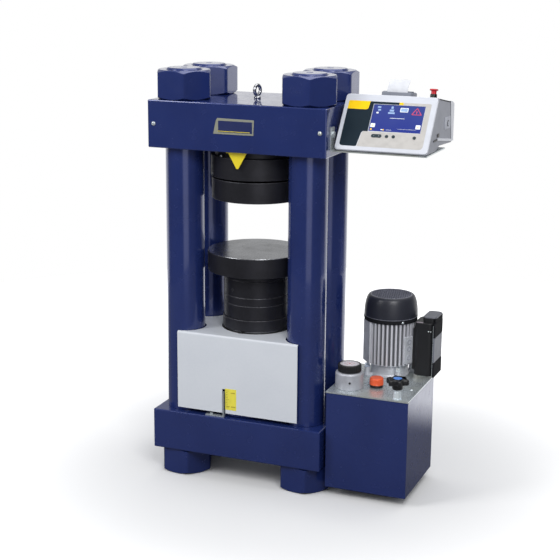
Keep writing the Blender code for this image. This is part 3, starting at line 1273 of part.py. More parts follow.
def housing_section():
    """Side view of the console's rear shell, as (y, z) points, with its top's crest and its floor."""
    back = BEZEL_THICKNESS + SEAT_GAP
    low = behind_bezel(HOUSING_INSET, back)
    high = behind_bezel(BEZEL_HEIGHT - HOUSING_INSET, back)
    floor = behind_bezel(0, back)[1]
    crest = (high[0] + HOUSING_CREST_SET_BACK, high[1] + HOUSING_CREST_RISE)
    top_rear = (crest[0] + HOUSING_TOP_DEPTH, crest[1] - HOUSING_TOP_DROP)
    shoulder = (top_rear[0] + HOUSING_SHOULDER, top_rear[1] - HOUSING_SHOULDER / 2)
    tail = (shoulder[0], shoulder[1] - HOUSING_REAR_HEIGHT)
    belly = (low[0] + HOUSING_FOOT_DEPTH + HOUSING_BELLY_RUN, floor + HOUSING_BELLY_RISE)
    tail_low = (belly[0] + HOUSING_TAIL_DEPTH, floor + HOUSING_TAIL_RISE)
    foot = [low, (low[0] + back, floor), (low[0] + HOUSING_FOOT_DEPTH, floor)]
    return foot + [belly, tail_low, tail, shoulder, top_rear, crest, high], crest, floor


def build_housing():
    """Grey rear shell with a bay in its top for the paper roll."""
    section, top_front, floor = housing_section()
    left = CONSOLE_X + HOUSING_INSET
    right = CONSOLE_X + BEZEL_WIDTH - HOUSING_INSET
    upright = Matrix(((0, 0, 1, 0), (1, 0, 0, 0), (0, 1, 0, 0), (0, 0, 0, 1)))
    shell = extruded("console_housing", section, left, right, upright)
    housing = add_piece("console_housing", shell, "grey_plastic")
    break_edges(housing, HOUSING_EDGE)
    fall = HOUSING_TOP_DROP / HOUSING_TOP_DEPTH
    slope = math.atan(fall)
    bay_front = PRINTER_SET_BACK + (PRINTER_LID_DEPTH - PRINTER_BAY_DEPTH) / 2
    bay_low = (-PRINTER_BAY_WIDTH / 2, bay_front, -PRINTER_BAY_DROP)
    bay_high = (PRINTER_BAY_WIDTH / 2, bay_front + PRINTER_BAY_DEPTH, PRINTER_BAY_DROP)
    bay = boxed("printer_bay", bay_low, bay_high)
    top_place = (PRINTER_X, top_front[0], top_front[1])
    combine(housing, add_cutter("printer_bay", bay, top_place, (-slope, 0, 0)))
    stop_y = top_front[0] + STOP_SET_BACK
    stop_z = top_front[1] - STOP_SET_BACK * fall
    stem_room = STOP_STEM_DIAMETER / 2 + BORE_CLEARANCE
    depth = STOP_STEM_DEPTH + STOP_TRAVEL + STOP_COLLAR_HEIGHT
    hole = extruded("stop_hole", ring_outline(stem_room, SMALL_STEPS), -depth, depth)
    combine(housing, add_cutter("stop_hole", hole, (STOP_X, stop_y, stop_z), (-slope, 0, 0)))
    return top_front, slope, (stop_y, stop_z), floor


def build_stop(place, slope):
    """Emergency stop: a grey collar on the shell and the mushroom head that is pushed in."""
    collar = STOP_COLLAR_DIAMETER / 2
    stem = STOP_STEM_DIAMETER / 2
    bore = stem + SLIDING_CLEARANCE
    lift = SEAT_GAP
    ring = [(bore, lift), (collar, lift), (collar, STOP_COLLAR_HEIGHT), (bore, STOP_COLLAR_HEIGHT)]
    location = (STOP_X, *place)
    turn = (-slope, 0, 0)
    mesh = turned("stop_collar", ring, SMALL_STEPS, hollow=True)
    add_piece("stop_collar", mesh, "grey_plastic", location, turn)
    under = STOP_COLLAR_HEIGHT + STOP_STEM_SHOWING
    head = STOP_HEAD_DIAMETER / 2
    profile = [
        (0, -STOP_STEM_DEPTH),
        (stem, -STOP_STEM_DEPTH),
        (stem, under),
        (head, under + STOP_HEAD_HEIGHT / 2),
        (head - STOP_HEAD_HEIGHT / 3, under + STOP_HEAD_HEIGHT),
        (0, under + STOP_HEAD_HEIGHT),
    ]
    add_piece("stop_button", turned("stop_button", profile, SMALL_STEPS), "red_plastic", location, turn)


def build_printer(top_front, slope):
    """Printer lid hinged at its rear edge, and the paper roll under it with its printed end out."""
    front = PRINTER_SET_BACK + PAPER_SLOT
    rear = PRINTER_SET_BACK + PRINTER_LID_DEPTH
    place = (
        PRINTER_X,
        top_front[0] + rear * math.cos(slope),
        top_front[1] - rear * math.sin(slope),
    )
    left = -PRINTER_LID_WIDTH / 2
    depth = rear - front
    outline = rounded_rectangle(left, -depth, PRINTER_LID_WIDTH, depth, PRINTER_LID_CORNER, 3)
    cover = extruded("printer_lid", outline, SEAT_GAP, PRINTER_LID_HEIGHT)
    lid = add_piece("printer_lid", cover, "grey_plastic", place, (-slope, 0, 0))
    break_edges(lid, PRINTER_LID_EDGE, 1)

    bay_floor = -PRINTER_BAY_DROP + SEAT_GAP
    radius = PAPER_ROLL_RADIUS
    slot_y = -depth - PAPER_SLOT / 2
    centre = (slot_y + radius, bay_floor + radius)
    front_side = []
    back_side = [(slot_y + PAPER_SHEET, centre[1] + radius * 0.45)]
    for step in range(PAPER_BEND_STEPS + 1):
        share = step / PAPER_BEND_STEPS
        y = slot_y + PAPER_LEAN * share**2
        z = PRINTER_LID_HEIGHT + PAPER_SHOWING * share
        front_side.append((y, z))
        back_side.append((y + PAPER_SHEET, z))
    outline = arc(centre, radius, -math.pi, math.pi * 0.9, 18) + back_side + front_side[::-1]
    upright = Matrix(((0, 0, 1, 0), (1, 0, 0, 0), (0, 1, 0, 0), (0, 0, 0, 1)))
    roll = extruded("paper_roll", outline, -PAPER_WIDTH / 2, PAPER_WIDTH / 2, upright)
    add_piece("paper_roll", roll, "paper", place, (-slope, 0, 0))


def build_console_bracket(floor):
    """Bent strap bolted to the crosshead's side, with the tray that the console stands on."""
    start = CROSSHEAD_WIDTH / 2 + SEAT_GAP
    end = CONSOLE_X + BEZEL_WIDTH - HOUSING_INSET
    tray_top = floor - SEAT_GAP
    tray_bottom = tray_top - STRAP_SHEET
    strap_top = tray_top + STRAP_TOP_ABOVE_TRAY
    quarter = math.pi / 2
    bend = (start + TRAY_BEND, tray_bottom + TRAY_BEND)
    outline = [(end, tray_bottom), (end, tray_top)]
    outline += arc(bend, TRAY_BEND - STRAP_SHEET, -quarter, -2 * quarter, 4)
    outline += [(start + STRAP_SHEET, strap_top), (start, strap_top)]
    outline += arc(bend, TRAY_BEND, -2 * quarter, -quarter, 4)
    upright = Matrix(((1, 0, 0, 0), (0, 0, 1, 0), (0, 1, 0, 0), (0, 0, 0, 1)))
    strap = extruded("console_bracket", outline, STRAP_FRONT_Y, STRAP_FRONT_Y + STRAP_WIDTH, upright)
    bracket = add_piece("console_bracket", strap, "zinc")
    low = (CONSOLE_X, CONSOLE_Y + TRAY_SET_BACK, tray_bottom)
    high = (end, CONSOLE_Y + TRAY_SET_BACK + TRAY_DEPTH, tray_top)
    combine(bracket, add_cutter("console_tray", boxed("console_tray", low, high)), "UNION")
    sideways = Matrix.Rotation(quarter, 4, "Y")
    head_outline = ring_outline(CONSOLE_BOLT_RADIUS, SMALL_STEPS)
    head_end = STRAP_SHEET + CONSOLE_BOLT_RADIUS / 2
    bolt = extruded("console_bolt", head_outline, STRAP_SHEET / 2, head_end, sideways)
    place = (start, STRAP_FRONT_Y + STRAP_WIDTH / 2, strap_top - CONSOLE_BOLT_DROP)
    combine(bracket, add_cutter("console_bolt", bolt, place), "UNION")


def centre_machine():
    """Hold every piece by one empty and set that so the floor area's middle is the origin."""
    machine = bpy.data.objects.new("machine", None)
    loose = [item for item in bpy.data.objects if item.parent is None and item != machine]
    bpy.context.collection.objects.link(machine)
    machine.location = (-MIDDLE_X, -MIDDLE_Y, 0)
    for item in loose:
        item.parent = machine


def build_machine():
    """Build every piece of the machine and set it on its origin."""
    clear_scene()
    build_blocks()
    build_columns()
    build_nuts()
    build_jack()
    build_ram_stack()
    build_upper_platen()
    guard_half = build_guard()
    build_travel_bracket(guard_half)
    build_eyebolt()
    build_pointer()
    build_tank()
    build_pump()
    body_top = build_motor()
    build_fan(body_top)
    build_switch_box(body_top)
    build_flow_valve()
    build_filler()
    build_release_valve()
    frame = console_frame()
    build_bezel(frame)
    top_front, slope, stop_place, floor = build_housing()
    build_stop(stop_place, slope)
    build_printer(top_front, slope)
    build_console_bracket(floor)
    centre_machine()


build_machine()
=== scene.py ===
"""Looks of the concrete compression testing machine: fine turned, cast and moulded pieces, and their finishes.

Metres, +Z up, and the front faces -Y. A piece's place is in its mesh, and its object stays at the origin.
"""
import json
import math

import bmesh
import bpy
import mathutils
import numpy as np
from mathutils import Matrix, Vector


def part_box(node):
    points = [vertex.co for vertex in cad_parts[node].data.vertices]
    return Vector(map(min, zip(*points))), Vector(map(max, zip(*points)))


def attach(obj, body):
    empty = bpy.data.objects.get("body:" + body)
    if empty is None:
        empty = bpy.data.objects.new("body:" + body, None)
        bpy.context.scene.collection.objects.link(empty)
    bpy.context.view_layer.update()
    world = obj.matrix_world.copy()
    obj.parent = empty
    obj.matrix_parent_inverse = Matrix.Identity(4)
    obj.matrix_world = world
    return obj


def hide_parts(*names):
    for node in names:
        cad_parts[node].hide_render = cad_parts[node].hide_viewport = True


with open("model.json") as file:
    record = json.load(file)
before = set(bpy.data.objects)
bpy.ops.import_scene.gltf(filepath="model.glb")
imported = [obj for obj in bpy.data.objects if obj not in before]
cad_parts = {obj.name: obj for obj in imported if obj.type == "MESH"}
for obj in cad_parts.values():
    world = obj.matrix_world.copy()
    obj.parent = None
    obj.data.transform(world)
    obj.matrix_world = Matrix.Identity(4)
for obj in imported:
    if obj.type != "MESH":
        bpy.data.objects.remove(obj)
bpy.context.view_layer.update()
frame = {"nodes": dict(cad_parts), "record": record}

TAU = 2 * math.pi


# Surfaces: each is an array of points and a list of faces

def lattice(grid, round_rows=False, round_columns=False):
    """Quads over a grid of points: each joins a point to the next in its row and its column."""
    rows, columns = grid.shape[:2]
    i = np.arange(rows if round_rows else rows - 1)[:, None]
    j = np.arange(columns if round_columns else columns - 1)[None, :]
    k = (i + 1) % rows
    m = (j + 1) % columns
    corners = [i * columns + j, i * columns + m, k * columns + m, k * columns + j]
    quads = np.stack(np.broadcast_arrays(*corners), -1).reshape(-1, 4)
    return grid.reshape(-1, 3), quads.tolist()


def joined(*surfaces):
    """Several surfaces as one: their points follow each other, and their faces count on."""
    points, faces, start = [], [], 0
    for some_points, some_faces in surfaces:
        points.append(np.asarray(some_points, float))
        faces += [[number + start for number in face] for face in some_faces]
        start += len(some_points)
    return np.concatenate(points), faces


def toward(degrees):
    """The level direction at an azimuth: (cos a, sin a, 0)."""
    return np.array([math.cos(math.radians(degrees)), math.sin(math.radians(degrees)), 0])


def moved(surface, place=(0, 0, 0), x=(1, 0, 0), z=(0, 0, 1)):
    """A surface set in another frame: point = place + X x + Y (z cross x) + Z z."""
    points, faces = surface
    x = np.asarray(x, float) / np.linalg.norm(x)
    z = np.asarray(z, float) / np.linalg.norm(z)
    return np.asarray(points) @ np.stack([x, np.cross(z, x), z]) + np.asarray(place, float), faces


def softened(line, reach, steps=4, closed=False):
    """A line with its corners rounded: (1-t)^2 a + 2t(1-t) corner + t^2 b, a and b at reach from the corner."""
    line = np.asarray(line, float)
    cut = np.broadcast_to(np.asarray(reach, float), (len(line),))[:, None]
    starts = []
    for neighbour in (np.roll(line, 1, 0), np.roll(line, -1, 0)):
        way = neighbour - line
        long = np.linalg.norm(way, axis=1, keepdims=True)
        starts.append((line + way * np.minimum(cut / np.maximum(long, 1e-9), 0.49))[:, None])
    a, b = starts
    t = np.linspace(0, 1, steps + 1)[None, :, None]
    bent = (1 - t) ** 2 * a + 2 * t * (1 - t) * line[:, None] + t ** 2 * b
    if closed:
        return bent.reshape(-1, line.shape[1])
    return np.concatenate([line[:1], bent[1:-1].reshape(-1, line.shape[1]), line[-1:]])


def around(radius, height, t, hollow=False):
    """Rows of radii and heights carried round Z: x = r cos t, y = r sin t. A hollow one closes on itself."""
    rows = np.broadcast_arrays(radius * np.cos(t), radius * np.sin(t), height)
    return lattice(np.stack(rows, -1), hollow, True)


def turned(profile, sides=96, hollow=False):
    """A (radius, height) line carried round Z."""
    profile = np.asarray(profile, float)
    return around(profile[:, :1], profile[:, 1:], np.arange(sides) * TAU / sides, hollow)


def lathe(profile, reach, sides=32, steps=2, hollow=False):
    """A turned shape with every corner of its line softened."""
    return turned(softened(profile, reach, steps, hollow), sides, hollow)


def outward(outline):
    """Unit normals of a closed outline that runs counterclockwise, from the chord across each point."""
    along = np.roll(outline, -1, 0) - np.roll(outline, 1, 0)
    across = np.stack([along[:, 1], -along[:, 0]], -1)
    return across / np.maximum(np.linalg.norm(across, axis=1, keepdims=True), 1e-12)


def carried(outline, levels):
    """A closed outline carried up through (inset, height) levels: point = outline - inset * normal, capped."""
    outline = np.asarray(outline, float)
    levels = np.asarray(levels, float)
    flat = outline[None] - levels[:, None, :1] * outward(outline)[None]
    grid = np.concatenate([flat, np.broadcast_to(levels[:, None, 1:], flat.shape[:2] + (1,))], -1)
    points, faces = lattice(grid, False, True)
    count = len(outline)
    last = len(points) - count
    return points, faces + [list(range(count))[::-1], list(range(last, last + count))]


def slab(outline, low, high, edge=0.0, under=None, steps=4):
    """An outline as a plate from low to high, its rims rounded by quarter circles of radius edge and under."""
    under = edge if under is None else under
    turn = np.linspace(0, math.pi / 2, steps + 1)
    lower, upper = [(0, low)], [(0, high)]
    if under > 0:
        lower = np.stack([under * (1 - np.sin(turn)), low + under * (1 - np.cos(turn))], -1)
    if edge > 0:
        upper = np.stack([edge * (1 - np.cos(turn)), high - edge * (1 - np.sin(turn))], -1)
    return carried(outline, np.concatenate([lower, upper]))


def rectangle(width, height, corner, steps=6, middle=(0, 0)):
    """A rectangle about middle with quarter-circle corners, counterclockwise."""
    turn = np.linspace(0, math.pi / 2, steps + 1)
    reach = np.array([width / 2 - corner, height / 2 - corner])
    signs = np.array([[1, -1], [1, 1], [-1, 1], [-1, -1]])
    start = np.array([-1, 0, 1, 2]) * math.pi / 2
    angle = start[:, None] + turn[None]
    arcs = (signs * reach)[:, None] + corner * np.stack([np.cos(angle), np.sin(angle)], -1)
    return arcs.reshape(-1, 2) + np.asarray(middle, float)


def plate(width, height, corner, low, high, edge=0.0, steps=6, middle=(0, 0)):
    """A rectangular slab with rounded corners."""
    return slab(rectangle(width, height, corner, steps, middle), low, high, edge)


def circle(radius, steps, middle=(0, 0)):
    """Points round a circle."""
    t = np.arange(steps) * TAU / steps
    return np.stack([radius * np.cos(t), radius * np.sin(t)], -1) + np.asarray(middle, float)


def swept(path, radius, sides):
    """A tube round a closed path: point = path + r (cos t side + sin t up)."""
    along = np.roll(path, -1, 0) - np.roll(path, 1, 0)
    along /= np.linalg.norm(along, axis=1, keepdims=True)
    across = np.eye(3)[int(np.argmin(path.max(0) - path.min(0)))]
    side = np.cross(along, across)
    side /= np.linalg.norm(side, axis=1, keepdims=True)
    up = np.cross(side, along)
    t = (np.arange(sides) * TAU / sides)[None, :, None]
    return lattice(path[:, None] + radius * (np.cos(t) * side[:, None] + np.sin(t) * up[:, None]), True, True)


def hexagon(across_flats, t):
    """Reach of a hexagon: r = half / cos(the angle from the middle of the nearest flat)."""
    return across_flats / 2 / np.cos(t % (math.pi / 3) - math.pi / 6)


def hexagon_nut(across_flats, height, bore):
    """A nut: hexagon r(t) with small corner arcs, its faces coned as z = H - max(0, r - face radius) tan 30."""
    sides, rings, lead = 144, 5, 0.0012
    corner, blend, slope = 0.0012, 2.2, math.tan(math.radians(30))
    t = np.arange(sides) * TAU / sides
    flat, half = hexagon(across_flats, t), across_flats / 2
    rounded = half / math.cos(math.pi / 6) - corner
    radius = -np.log(np.exp(-flat / corner * blend) + np.exp(-rounded / corner * blend)) * corner / blend
    rim = half * 0.97
    share = np.linspace(0, 1, rings)[:, None]
    cone = rim * (1 - share) + (radius - 0.0006) * share
    fall = np.maximum(cone - rim, 0) * slope
    side_fall = (radius - rim) * slope + 0.0005
    top_r = np.vstack([np.full(sides, bore), np.full(sides, bore + lead), cone, radius])
    top_z = height - np.vstack([np.full(sides, lead), np.zeros(sides), fall, side_fall])
    return around(np.vstack([top_r, top_r[::-1]]), np.vstack([top_z, (height - top_z)[::-1]]), t, True)


def cap_screw(radius, height, socket):
    """A cap screw's head: rounded rim and a hexagonal socket worked down as a ring of six."""
    mouth, floor = radius * 0.62, height * 0.45
    shell = lathe([(0, 0), (radius, 0), (radius, height), (mouth, height)], 0.18 * height, 32, 3)
    t = np.arange(32) * TAU / 32
    wall = hexagon(socket, t)
    rows = np.stack([np.full(32, mouth), wall, wall, np.zeros(32)])
    return joined(shell, around(rows, np.array([[height], [height], [floor], [floor]]), t))


def dome_screw(radius, height, socket):
    """A dome-headed screw: r = R cos a, z = H sin a, with a small socket in its crown."""
    a = np.linspace(0, math.pi / 2, 9)
    line = np.stack([radius * np.cos(a), height * np.sin(a)], -1)
    line = line[line[:, 0] > socket]
    crown = line[-1, 1]
    floor = crown - height * 0.4
    return turned([(0, 0), *line, (socket, crown), (socket * 0.9, floor), (0, floor)], 32)


def bolt_head(across_flats, height):
    """A small hexagon head on a washer."""
    t = np.arange(48) * TAU / 48
    flat, rim, wide, thick = hexagon(across_flats, t), across_flats / 2 * 0.95, across_flats * 0.68, 0.0012
    level = np.full(48, height)
    head = around(np.stack([0 * t, flat, flat, np.full(48, rim), 0 * t]),
                  np.stack([0 * t, 0 * t, height - (flat - rim) * 0.6, level, level]), t)
    washer = lathe([(0, 0), (wide, 0), (wide, thick), (0, thick)], 0.0003, 48)
    return joined(washer, moved(head, (0, 0, thick - 0.0001)))


# Shader maths

class Level:
    """A value that varies over a surface. Arithmetic on it adds Math nodes to its tree."""

    def __init__(self, nodes, socket):
        self.nodes = nodes
        self.socket = socket

    def work(self, operation, *others):
        return self.nodes.add("ShaderNodeMath", {"operation": operation}, [self, *others])

    def __add__(self, other):
        return self.work("ADD", other)

    __radd__ = __add__

    def __mul__(self, other):
        return self.work("MULTIPLY", other)

    __rmul__ = __mul__

    def __sub__(self, other):
        return self.work("SUBTRACT", other)

    def __rsub__(self, other):
        return self * -1.0 + other

    def __truediv__(self, other):
        return self.work("DIVIDE", other)

    def __pow__(self, other):
        return self.work("POWER", other)

    def least(self, other):
        return self.work("MINIMUM", other)

    def most(self, other):
        return self.work("MAXIMUM", other)

    def between(self, low, high):
        """0 below low, 1 above high and a smooth rise between them."""
        return self.nodes.add("ShaderNodeMapRange", {"interpolation_type": "SMOOTHSTEP"}, {
            "Value": self, "From Min": low, "From Max": high, "To Min": 0.0, "To Max": 1.0})


def linear(levels):
    """0 to 255 colour levels as the linear colour that a shader takes."""
    share = np.asarray(levels, float) / 255
    return (*np.where(share <= 0.04045, share / 12.92, ((share + 0.055) / 1.055) ** 2.4).tolist(), 1.0)


def dimmed(levels, *shares):
    """Colour levels times one share, or times a share each."""
    return [v * share for v, share in zip(levels, shares * 3)]


class Nodes:
    """A tree of shader nodes and the ways to add to it."""

    def __init__(self, tree):
        self.tree = tree

    def add(self, kind, settings, sockets, output=0):
        """Add a node: settings first, then its sockets' values or links. It gives back one output as a Level."""
        node = self.tree.nodes.new(kind)
        for name, value in settings.items():
            setattr(node, name, value)
        pairs = enumerate(sockets) if isinstance(sockets, list) else sockets.items()
        for name, value in pairs:
            self.feed(node.inputs[name], value)
        return Level(self, node.outputs[output])

    def feed(self, socket, value):
        """Link a Level to a socket, or set the socket to a plain value."""
        if isinstance(value, Level):
            self.tree.links.new(value.socket, socket)
        else:
            socket.default_value = value

    def blend(self, share, first, second):
        """Two colours mixed by a share."""
        node = self.tree.nodes.new("ShaderNodeMix")
        node.data_type = "RGBA"
        for name, value in (("Factor_Float", share), ("A_Color", first), ("B_Color", second)):
            self.feed(next(s for s in node.inputs if s.identifier == name), value)
        return Level(self, next(s for s in node.outputs if s.identifier == "Result_Color"))

    def ray(self, *kinds):
        """1 for a ray of one of these kinds, such as Camera or Glossy."""
        found = [self.add("ShaderNodeLightPath", {}, {}, "Is " + kind + " Ray") for kind in kinds]
        share = found[0]
        for other in found[1:]:
            share = share.most(other)
        return share


class Finish(Nodes):
    """One finish: a material, its Principled shader and the nodes that vary it."""

    def __init__(self, name, levels, roughness=0.4, metallic=0.0, coat=0.0, coat_roughness=0.1, ior=1.5):
        self.material = bpy.data.materials.new(name)
        self.material.use_nodes = True
        super().__init__(self.material.node_tree)
        self.shader = self.tree.nodes["Principled BSDF"]
        self.base = linear(levels)
        for socket, value in (("Base Color", self.base), ("Roughness", roughness), ("Metallic", metallic),
                              ("Coat Weight", coat), ("Coat Roughness", coat_roughness), ("IOR", ior)):
            self.give(socket, value)
        self.bumped = None

    def place(self):
        """The point on the piece, in metres."""
        return self.add("ShaderNodeTexCoord", {}, {}, "Object")

    def own(self, name):
        """A value that the piece's mesh carries."""
        return self.add("ShaderNodeAttribute", {"attribute_name": name}, {}, "Fac")

    def axis(self, name):
        """One coordinate of the point on the piece."""
        return self.add("ShaderNodeSeparateXYZ", {}, {"Vector": self.place()}, name)

    def noise(self, scale, detail, stretch=(1, 1, 1)):
        """Even noise of that many features a metre, squeezed along the axes by stretch."""
        where = self.add("ShaderNodeMapping", {}, {"Vector": self.place(), "Scale": stretch})
        return self.add("ShaderNodeTexNoise", {}, {
            "Vector": where, "Scale": scale, "Detail": detail, "Roughness": 0.5}, "Fac")

    def cells(self, scale):
        """Distance to the nearest of many scattered points."""
        return self.add("ShaderNodeTexVoronoi", {}, {"Vector": self.place(), "Scale": scale}, "Distance")

    def give(self, socket, value):
        """Feed one of the shader's own sockets."""
        self.feed(self.shader.inputs[socket], value)

    def bump(self, height, strength, distance):
        """Lift the surface by a height: a second bump carries on from the first."""
        sockets = {"Height": height, "Strength": strength, "Distance": distance}
        if self.bumped is not None:
            sockets["Normal"] = self.bumped
        self.bumped = self.add("ShaderNodeBump", {}, sockets, "Normal")
        self.give("Normal", self.bumped)

    def vary(self, levels, share):
        """Let the colour drift towards another one."""
        self.give("Base Color", self.blend(share, self.base, linear(levels)))


def enamel(name, levels, dark, roughness=0.24, coat=0.7, metallic=0.0):
    """Sprayed enamel: a slow drift of tone, fine orange peel, and dust that dulls it a little."""
    finish = Finish(name, levels, roughness, metallic, coat, 0.05)
    slow = finish.noise(7, 2)
    fine = finish.noise(160, 3)
    finish.vary(dark, (slow * 0.7 + fine * 0.3).between(0.35, 0.75) * 0.55)
    finish.give("Roughness", finish.noise(30, 4).between(0.3, 0.8) * 0.10 + (roughness - 0.04))
    finish.bump(finish.noise(520, 2), 0.03, 0.0003)
    return finish.material


def machined_black(name, levels, worn_and_lit, roughness=0.42):
    """Blacked steel: turning marks round the piece, cloudy oxide, and a paler colour on its rims that is partly
    rubbed bare metal and partly a painted edge highlight.
    """
    finish = Finish(name, levels, roughness, 0.55)
    cloud = finish.noise(26, 4)
    marks = finish.noise(900, 2, (0.02, 0.02, 1.0))
    # Paler rims: rubbed bare metal, with a painted edge highlight in the same colour.
    rubbed_and_lit = finish.own("rim") * (finish.noise(180, 3).between(0.30, 0.62) * 0.75 + 0.25)
    tone = finish.blend(cloud.between(0.35, 0.75) * 0.6, finish.base, linear(dimmed(levels, 0.72)))
    finish.give("Base Color", finish.blend(rubbed_and_lit.least(1.0), tone, linear(worn_and_lit)))
    finish.give("Roughness", marks.between(0.3, 0.7) * 0.10 + cloud * 0.12 + (roughness - 0.12))
    finish.bump(marks, 0.12, 0.0003)
    return finish.material


def ground_metal(name, levels, roughness=0.26):
    """Ground steel: fine marks one way over the face, and faint stains."""
    finish = Finish(name, levels, roughness, 1.0)
    marks = finish.noise(1400, 3, (1, 0.03, 1))
    stain = finish.noise(22, 4)
    finish.vary(dimmed(levels, 0.78), (stain.between(0.42, 0.72) * 0.5 + marks * 0.25).least(1.0))
    finish.give("Roughness", marks.between(0.25, 0.75) * 0.14 + stain * 0.12 + (roughness - 0.10))
    finish.bump(marks, 0.10, 0.0002)
    return finish.material


def plated(name, levels, roughness, metallic):
    """Zinc plate: a soft patchwork of grains with a slight yellow and blue drift."""
    finish = Finish(name, levels, roughness, metallic)
    grains = finish.cells(260)
    drift = finish.noise(14, 3)
    warm = finish.blend(drift.between(0.4, 0.7), finish.base, linear(dimmed(levels, 1.0, 0.985, 0.93)))
    finish.give("Base Color", finish.blend(grains.between(0.2, 0.9) * 0.25, warm, linear(dimmed(levels, 0.82))))
    finish.give("Roughness", grains * 0.10 + drift * 0.12 + (roughness - 0.08))
    finish.bump(finish.noise(300, 3), 0.06, 0.0003)
    return finish.material


def cast_metal(name, levels, roughness, metallic, grain=900, depth=0.35):
    """Die-cast aluminium: a pebbled skin, with darker hollows."""
    finish = Finish(name, levels, roughness, metallic)
    pebbles = finish.noise(grain, 3)
    cloud = finish.noise(35, 3)
    hollows = pebbles.between(0.35, 0.7) * 0.4 + cloud.between(0.4, 0.7) * 0.3
    finish.vary(dimmed(levels, 0.70), hollows.least(1.0))
    finish.give("Roughness", pebbles * 0.15 + (roughness - 0.07))
    finish.bump(pebbles, depth, 0.0004)
    return finish.material


def finned_metal(name, tips, roots):
    """Bare cast fins: bright tips, painted shade that darkens them towards the roots, and a fine darker grain."""
    finish = Finish(name, tips, 0.36, 0.25)
    grain = finish.noise(900, 3)
    # Painted shade: the colour falls towards the roots colour between the fins, where the rim attribute is low.
    share = (1 - finish.own("rim")) * 0.90 + grain.between(0.4, 0.7) * 0.12
    finish.vary(roots, share.least(1.0))
    finish.give("Roughness", grain * 0.16 + 0.28)
    finish.bump(grain, 0.2, 0.0003)
    return finish.material


def moulded(name, levels, roughness=0.45, grain=1200, depth=0.15, coat=0.0, tone=0.85, ior=1.5):
    """Moulded plastic: a fine spark-eroded grain and a faint unevenness of tone."""
    finish = Finish(name, levels, roughness, 0.0, coat, ior=ior)
    skin = finish.noise(grain, 2)
    cloud = finish.noise(28, 3)
    finish.vary(dimmed(levels, tone), cloud.between(0.38, 0.75) * 0.5)
    finish.give("Roughness", skin * 0.14 + cloud * 0.08 + (roughness - 0.10))
    finish.bump(skin, depth, 0.0002)
    return finish.material


def bright(name, levels, roughness):
    """Polished plate: smooth, with slight waves and fine rub marks."""
    finish = Finish(name, levels, roughness, 1.0)
    rub = finish.noise(220, 3)
    finish.vary(dimmed(levels, 0.86), rub.between(0.45, 0.75) * 0.5)
    finish.give("Roughness", rub * 0.12 + (roughness - 0.04))
    finish.bump(finish.noise(90, 2), 0.02, 0.0004)
    return finish.material


def printed(name, levels, roughness=0.45):
    """Printed foil: even ink on a film that is slightly uneven."""
    finish = Finish(name, levels, roughness, ior=1.3)
    finish.vary(dimmed(levels, 0.93), finish.noise(60, 3).between(0.35, 0.7) * 0.6)
    finish.bump(finish.noise(400, 2), 0.05, 0.0003)
    return finish.material


def lit_glass(name, top, bottom, low, high):
    """Display cover: blue that falls off down the slope, with a little light of its own."""
    finish = Finish(name, top, 0.12, 0.0, 0.4, 0.03)
    fall = finish.axis("Z").between(low, high)
    cloud = finish.noise(18, 2).between(0.3, 0.7) * 0.25
    colour = finish.blend((fall * 0.85 + cloud).least(1.0), linear(bottom), linear(top))
    finish.give("Base Color", colour)
    finish.give("Emission Color", colour)
    finish.give("Emission Strength", 0.15)
    return finish.material


LOOKS = {
    "blue_paint": enamel("blue_enamel", (36, 52, 112), (28, 42, 96), metallic=0.25),
    "black_oxide": machined_black("blacked_steel", (46, 46, 52), (92, 92, 98)),
    "ground_steel": ground_metal("ground_steel", (168, 170, 174)),
    "grey_paint": enamel("grey_enamel", (217, 221, 227), (207, 212, 219), 0.38, 0.15),
    "zinc": plated("zinc_plate", (206, 214, 218), 0.26, 0.65),
    "chrome": bright("bright_plate", (176, 177, 182), 0.16),
    "yellow": enamel("yellow_enamel", (232, 212, 40), (222, 198, 34), 0.38, 0.2),
    "black_plastic": moulded("black_moulding", (27, 28, 31), 0.42, 1500, 0.22, tone=0.75),
    "rubber": moulded("black_rubber", (26, 26, 27), 0.78, 700, 0.35),
    "cast_aluminium": cast_metal("die_cast", (196, 198, 206), 0.45, 0.35),
    "white_plastic": moulded("white_moulding", (204, 207, 215), 0.34, 1200, 0.08, 0.15, 0.96),
    "grey_plastic": moulded("grey_moulding", (140, 143, 154), 0.42, 1200, 0.18, 0.0, 0.92),
    "orange_plastic": moulded("orange_moulding", (240, 97, 50), 0.36, 900, 0.15, 0.2, 0.92),
    "red_plastic": moulded("red_moulding", (200, 24, 42), 0.32, 900, 0.10, 0.3, 0.9),
    "screen_glass": lit_glass("display_cover", (44, 58, 126), (28, 44, 126), 1.02, 1.11),
    "paper": printed("thermal_paper", (217, 219, 224), 0.8),
}

# Finishes of single pieces: the record's slot that each belongs to, and its material

PLATE_GREY = "zinc", plated("plate_grey", (150, 152, 138), 0.3, 0.15)
FITTING = "zinc", plated("fitting_plate", (226, 238, 254), 0.20, 0.30)
FIELD = "blue_paint", enamel("nameplate_field", (34, 44, 92), (28, 38, 80), 0.35, 0.2)
FIN_METAL = "cast_aluminium", finned_metal("fin_metal", (226, 227, 234), (92, 94, 100))
PAD_METAL = "cast_aluminium", cast_metal("pad_metal", (222, 225, 232), 0.40, 0.20, 900, 0.2)
COLLAR_GREY = "grey_plastic", bright("collar_grey", (74, 80, 78), 0.28)
MATT_BLACK = "black_plastic", moulded("matt_black", (30, 31, 35), 0.8, 700, 0.2, ior=1.25)
COWL_BLACK = "black_plastic", moulded("cowl_black", (42, 44, 54), 0.36, 1100, 0.12)
GRILLE_GREY = "black_plastic", moulded("grille_grey", (134, 136, 150), 0.38)
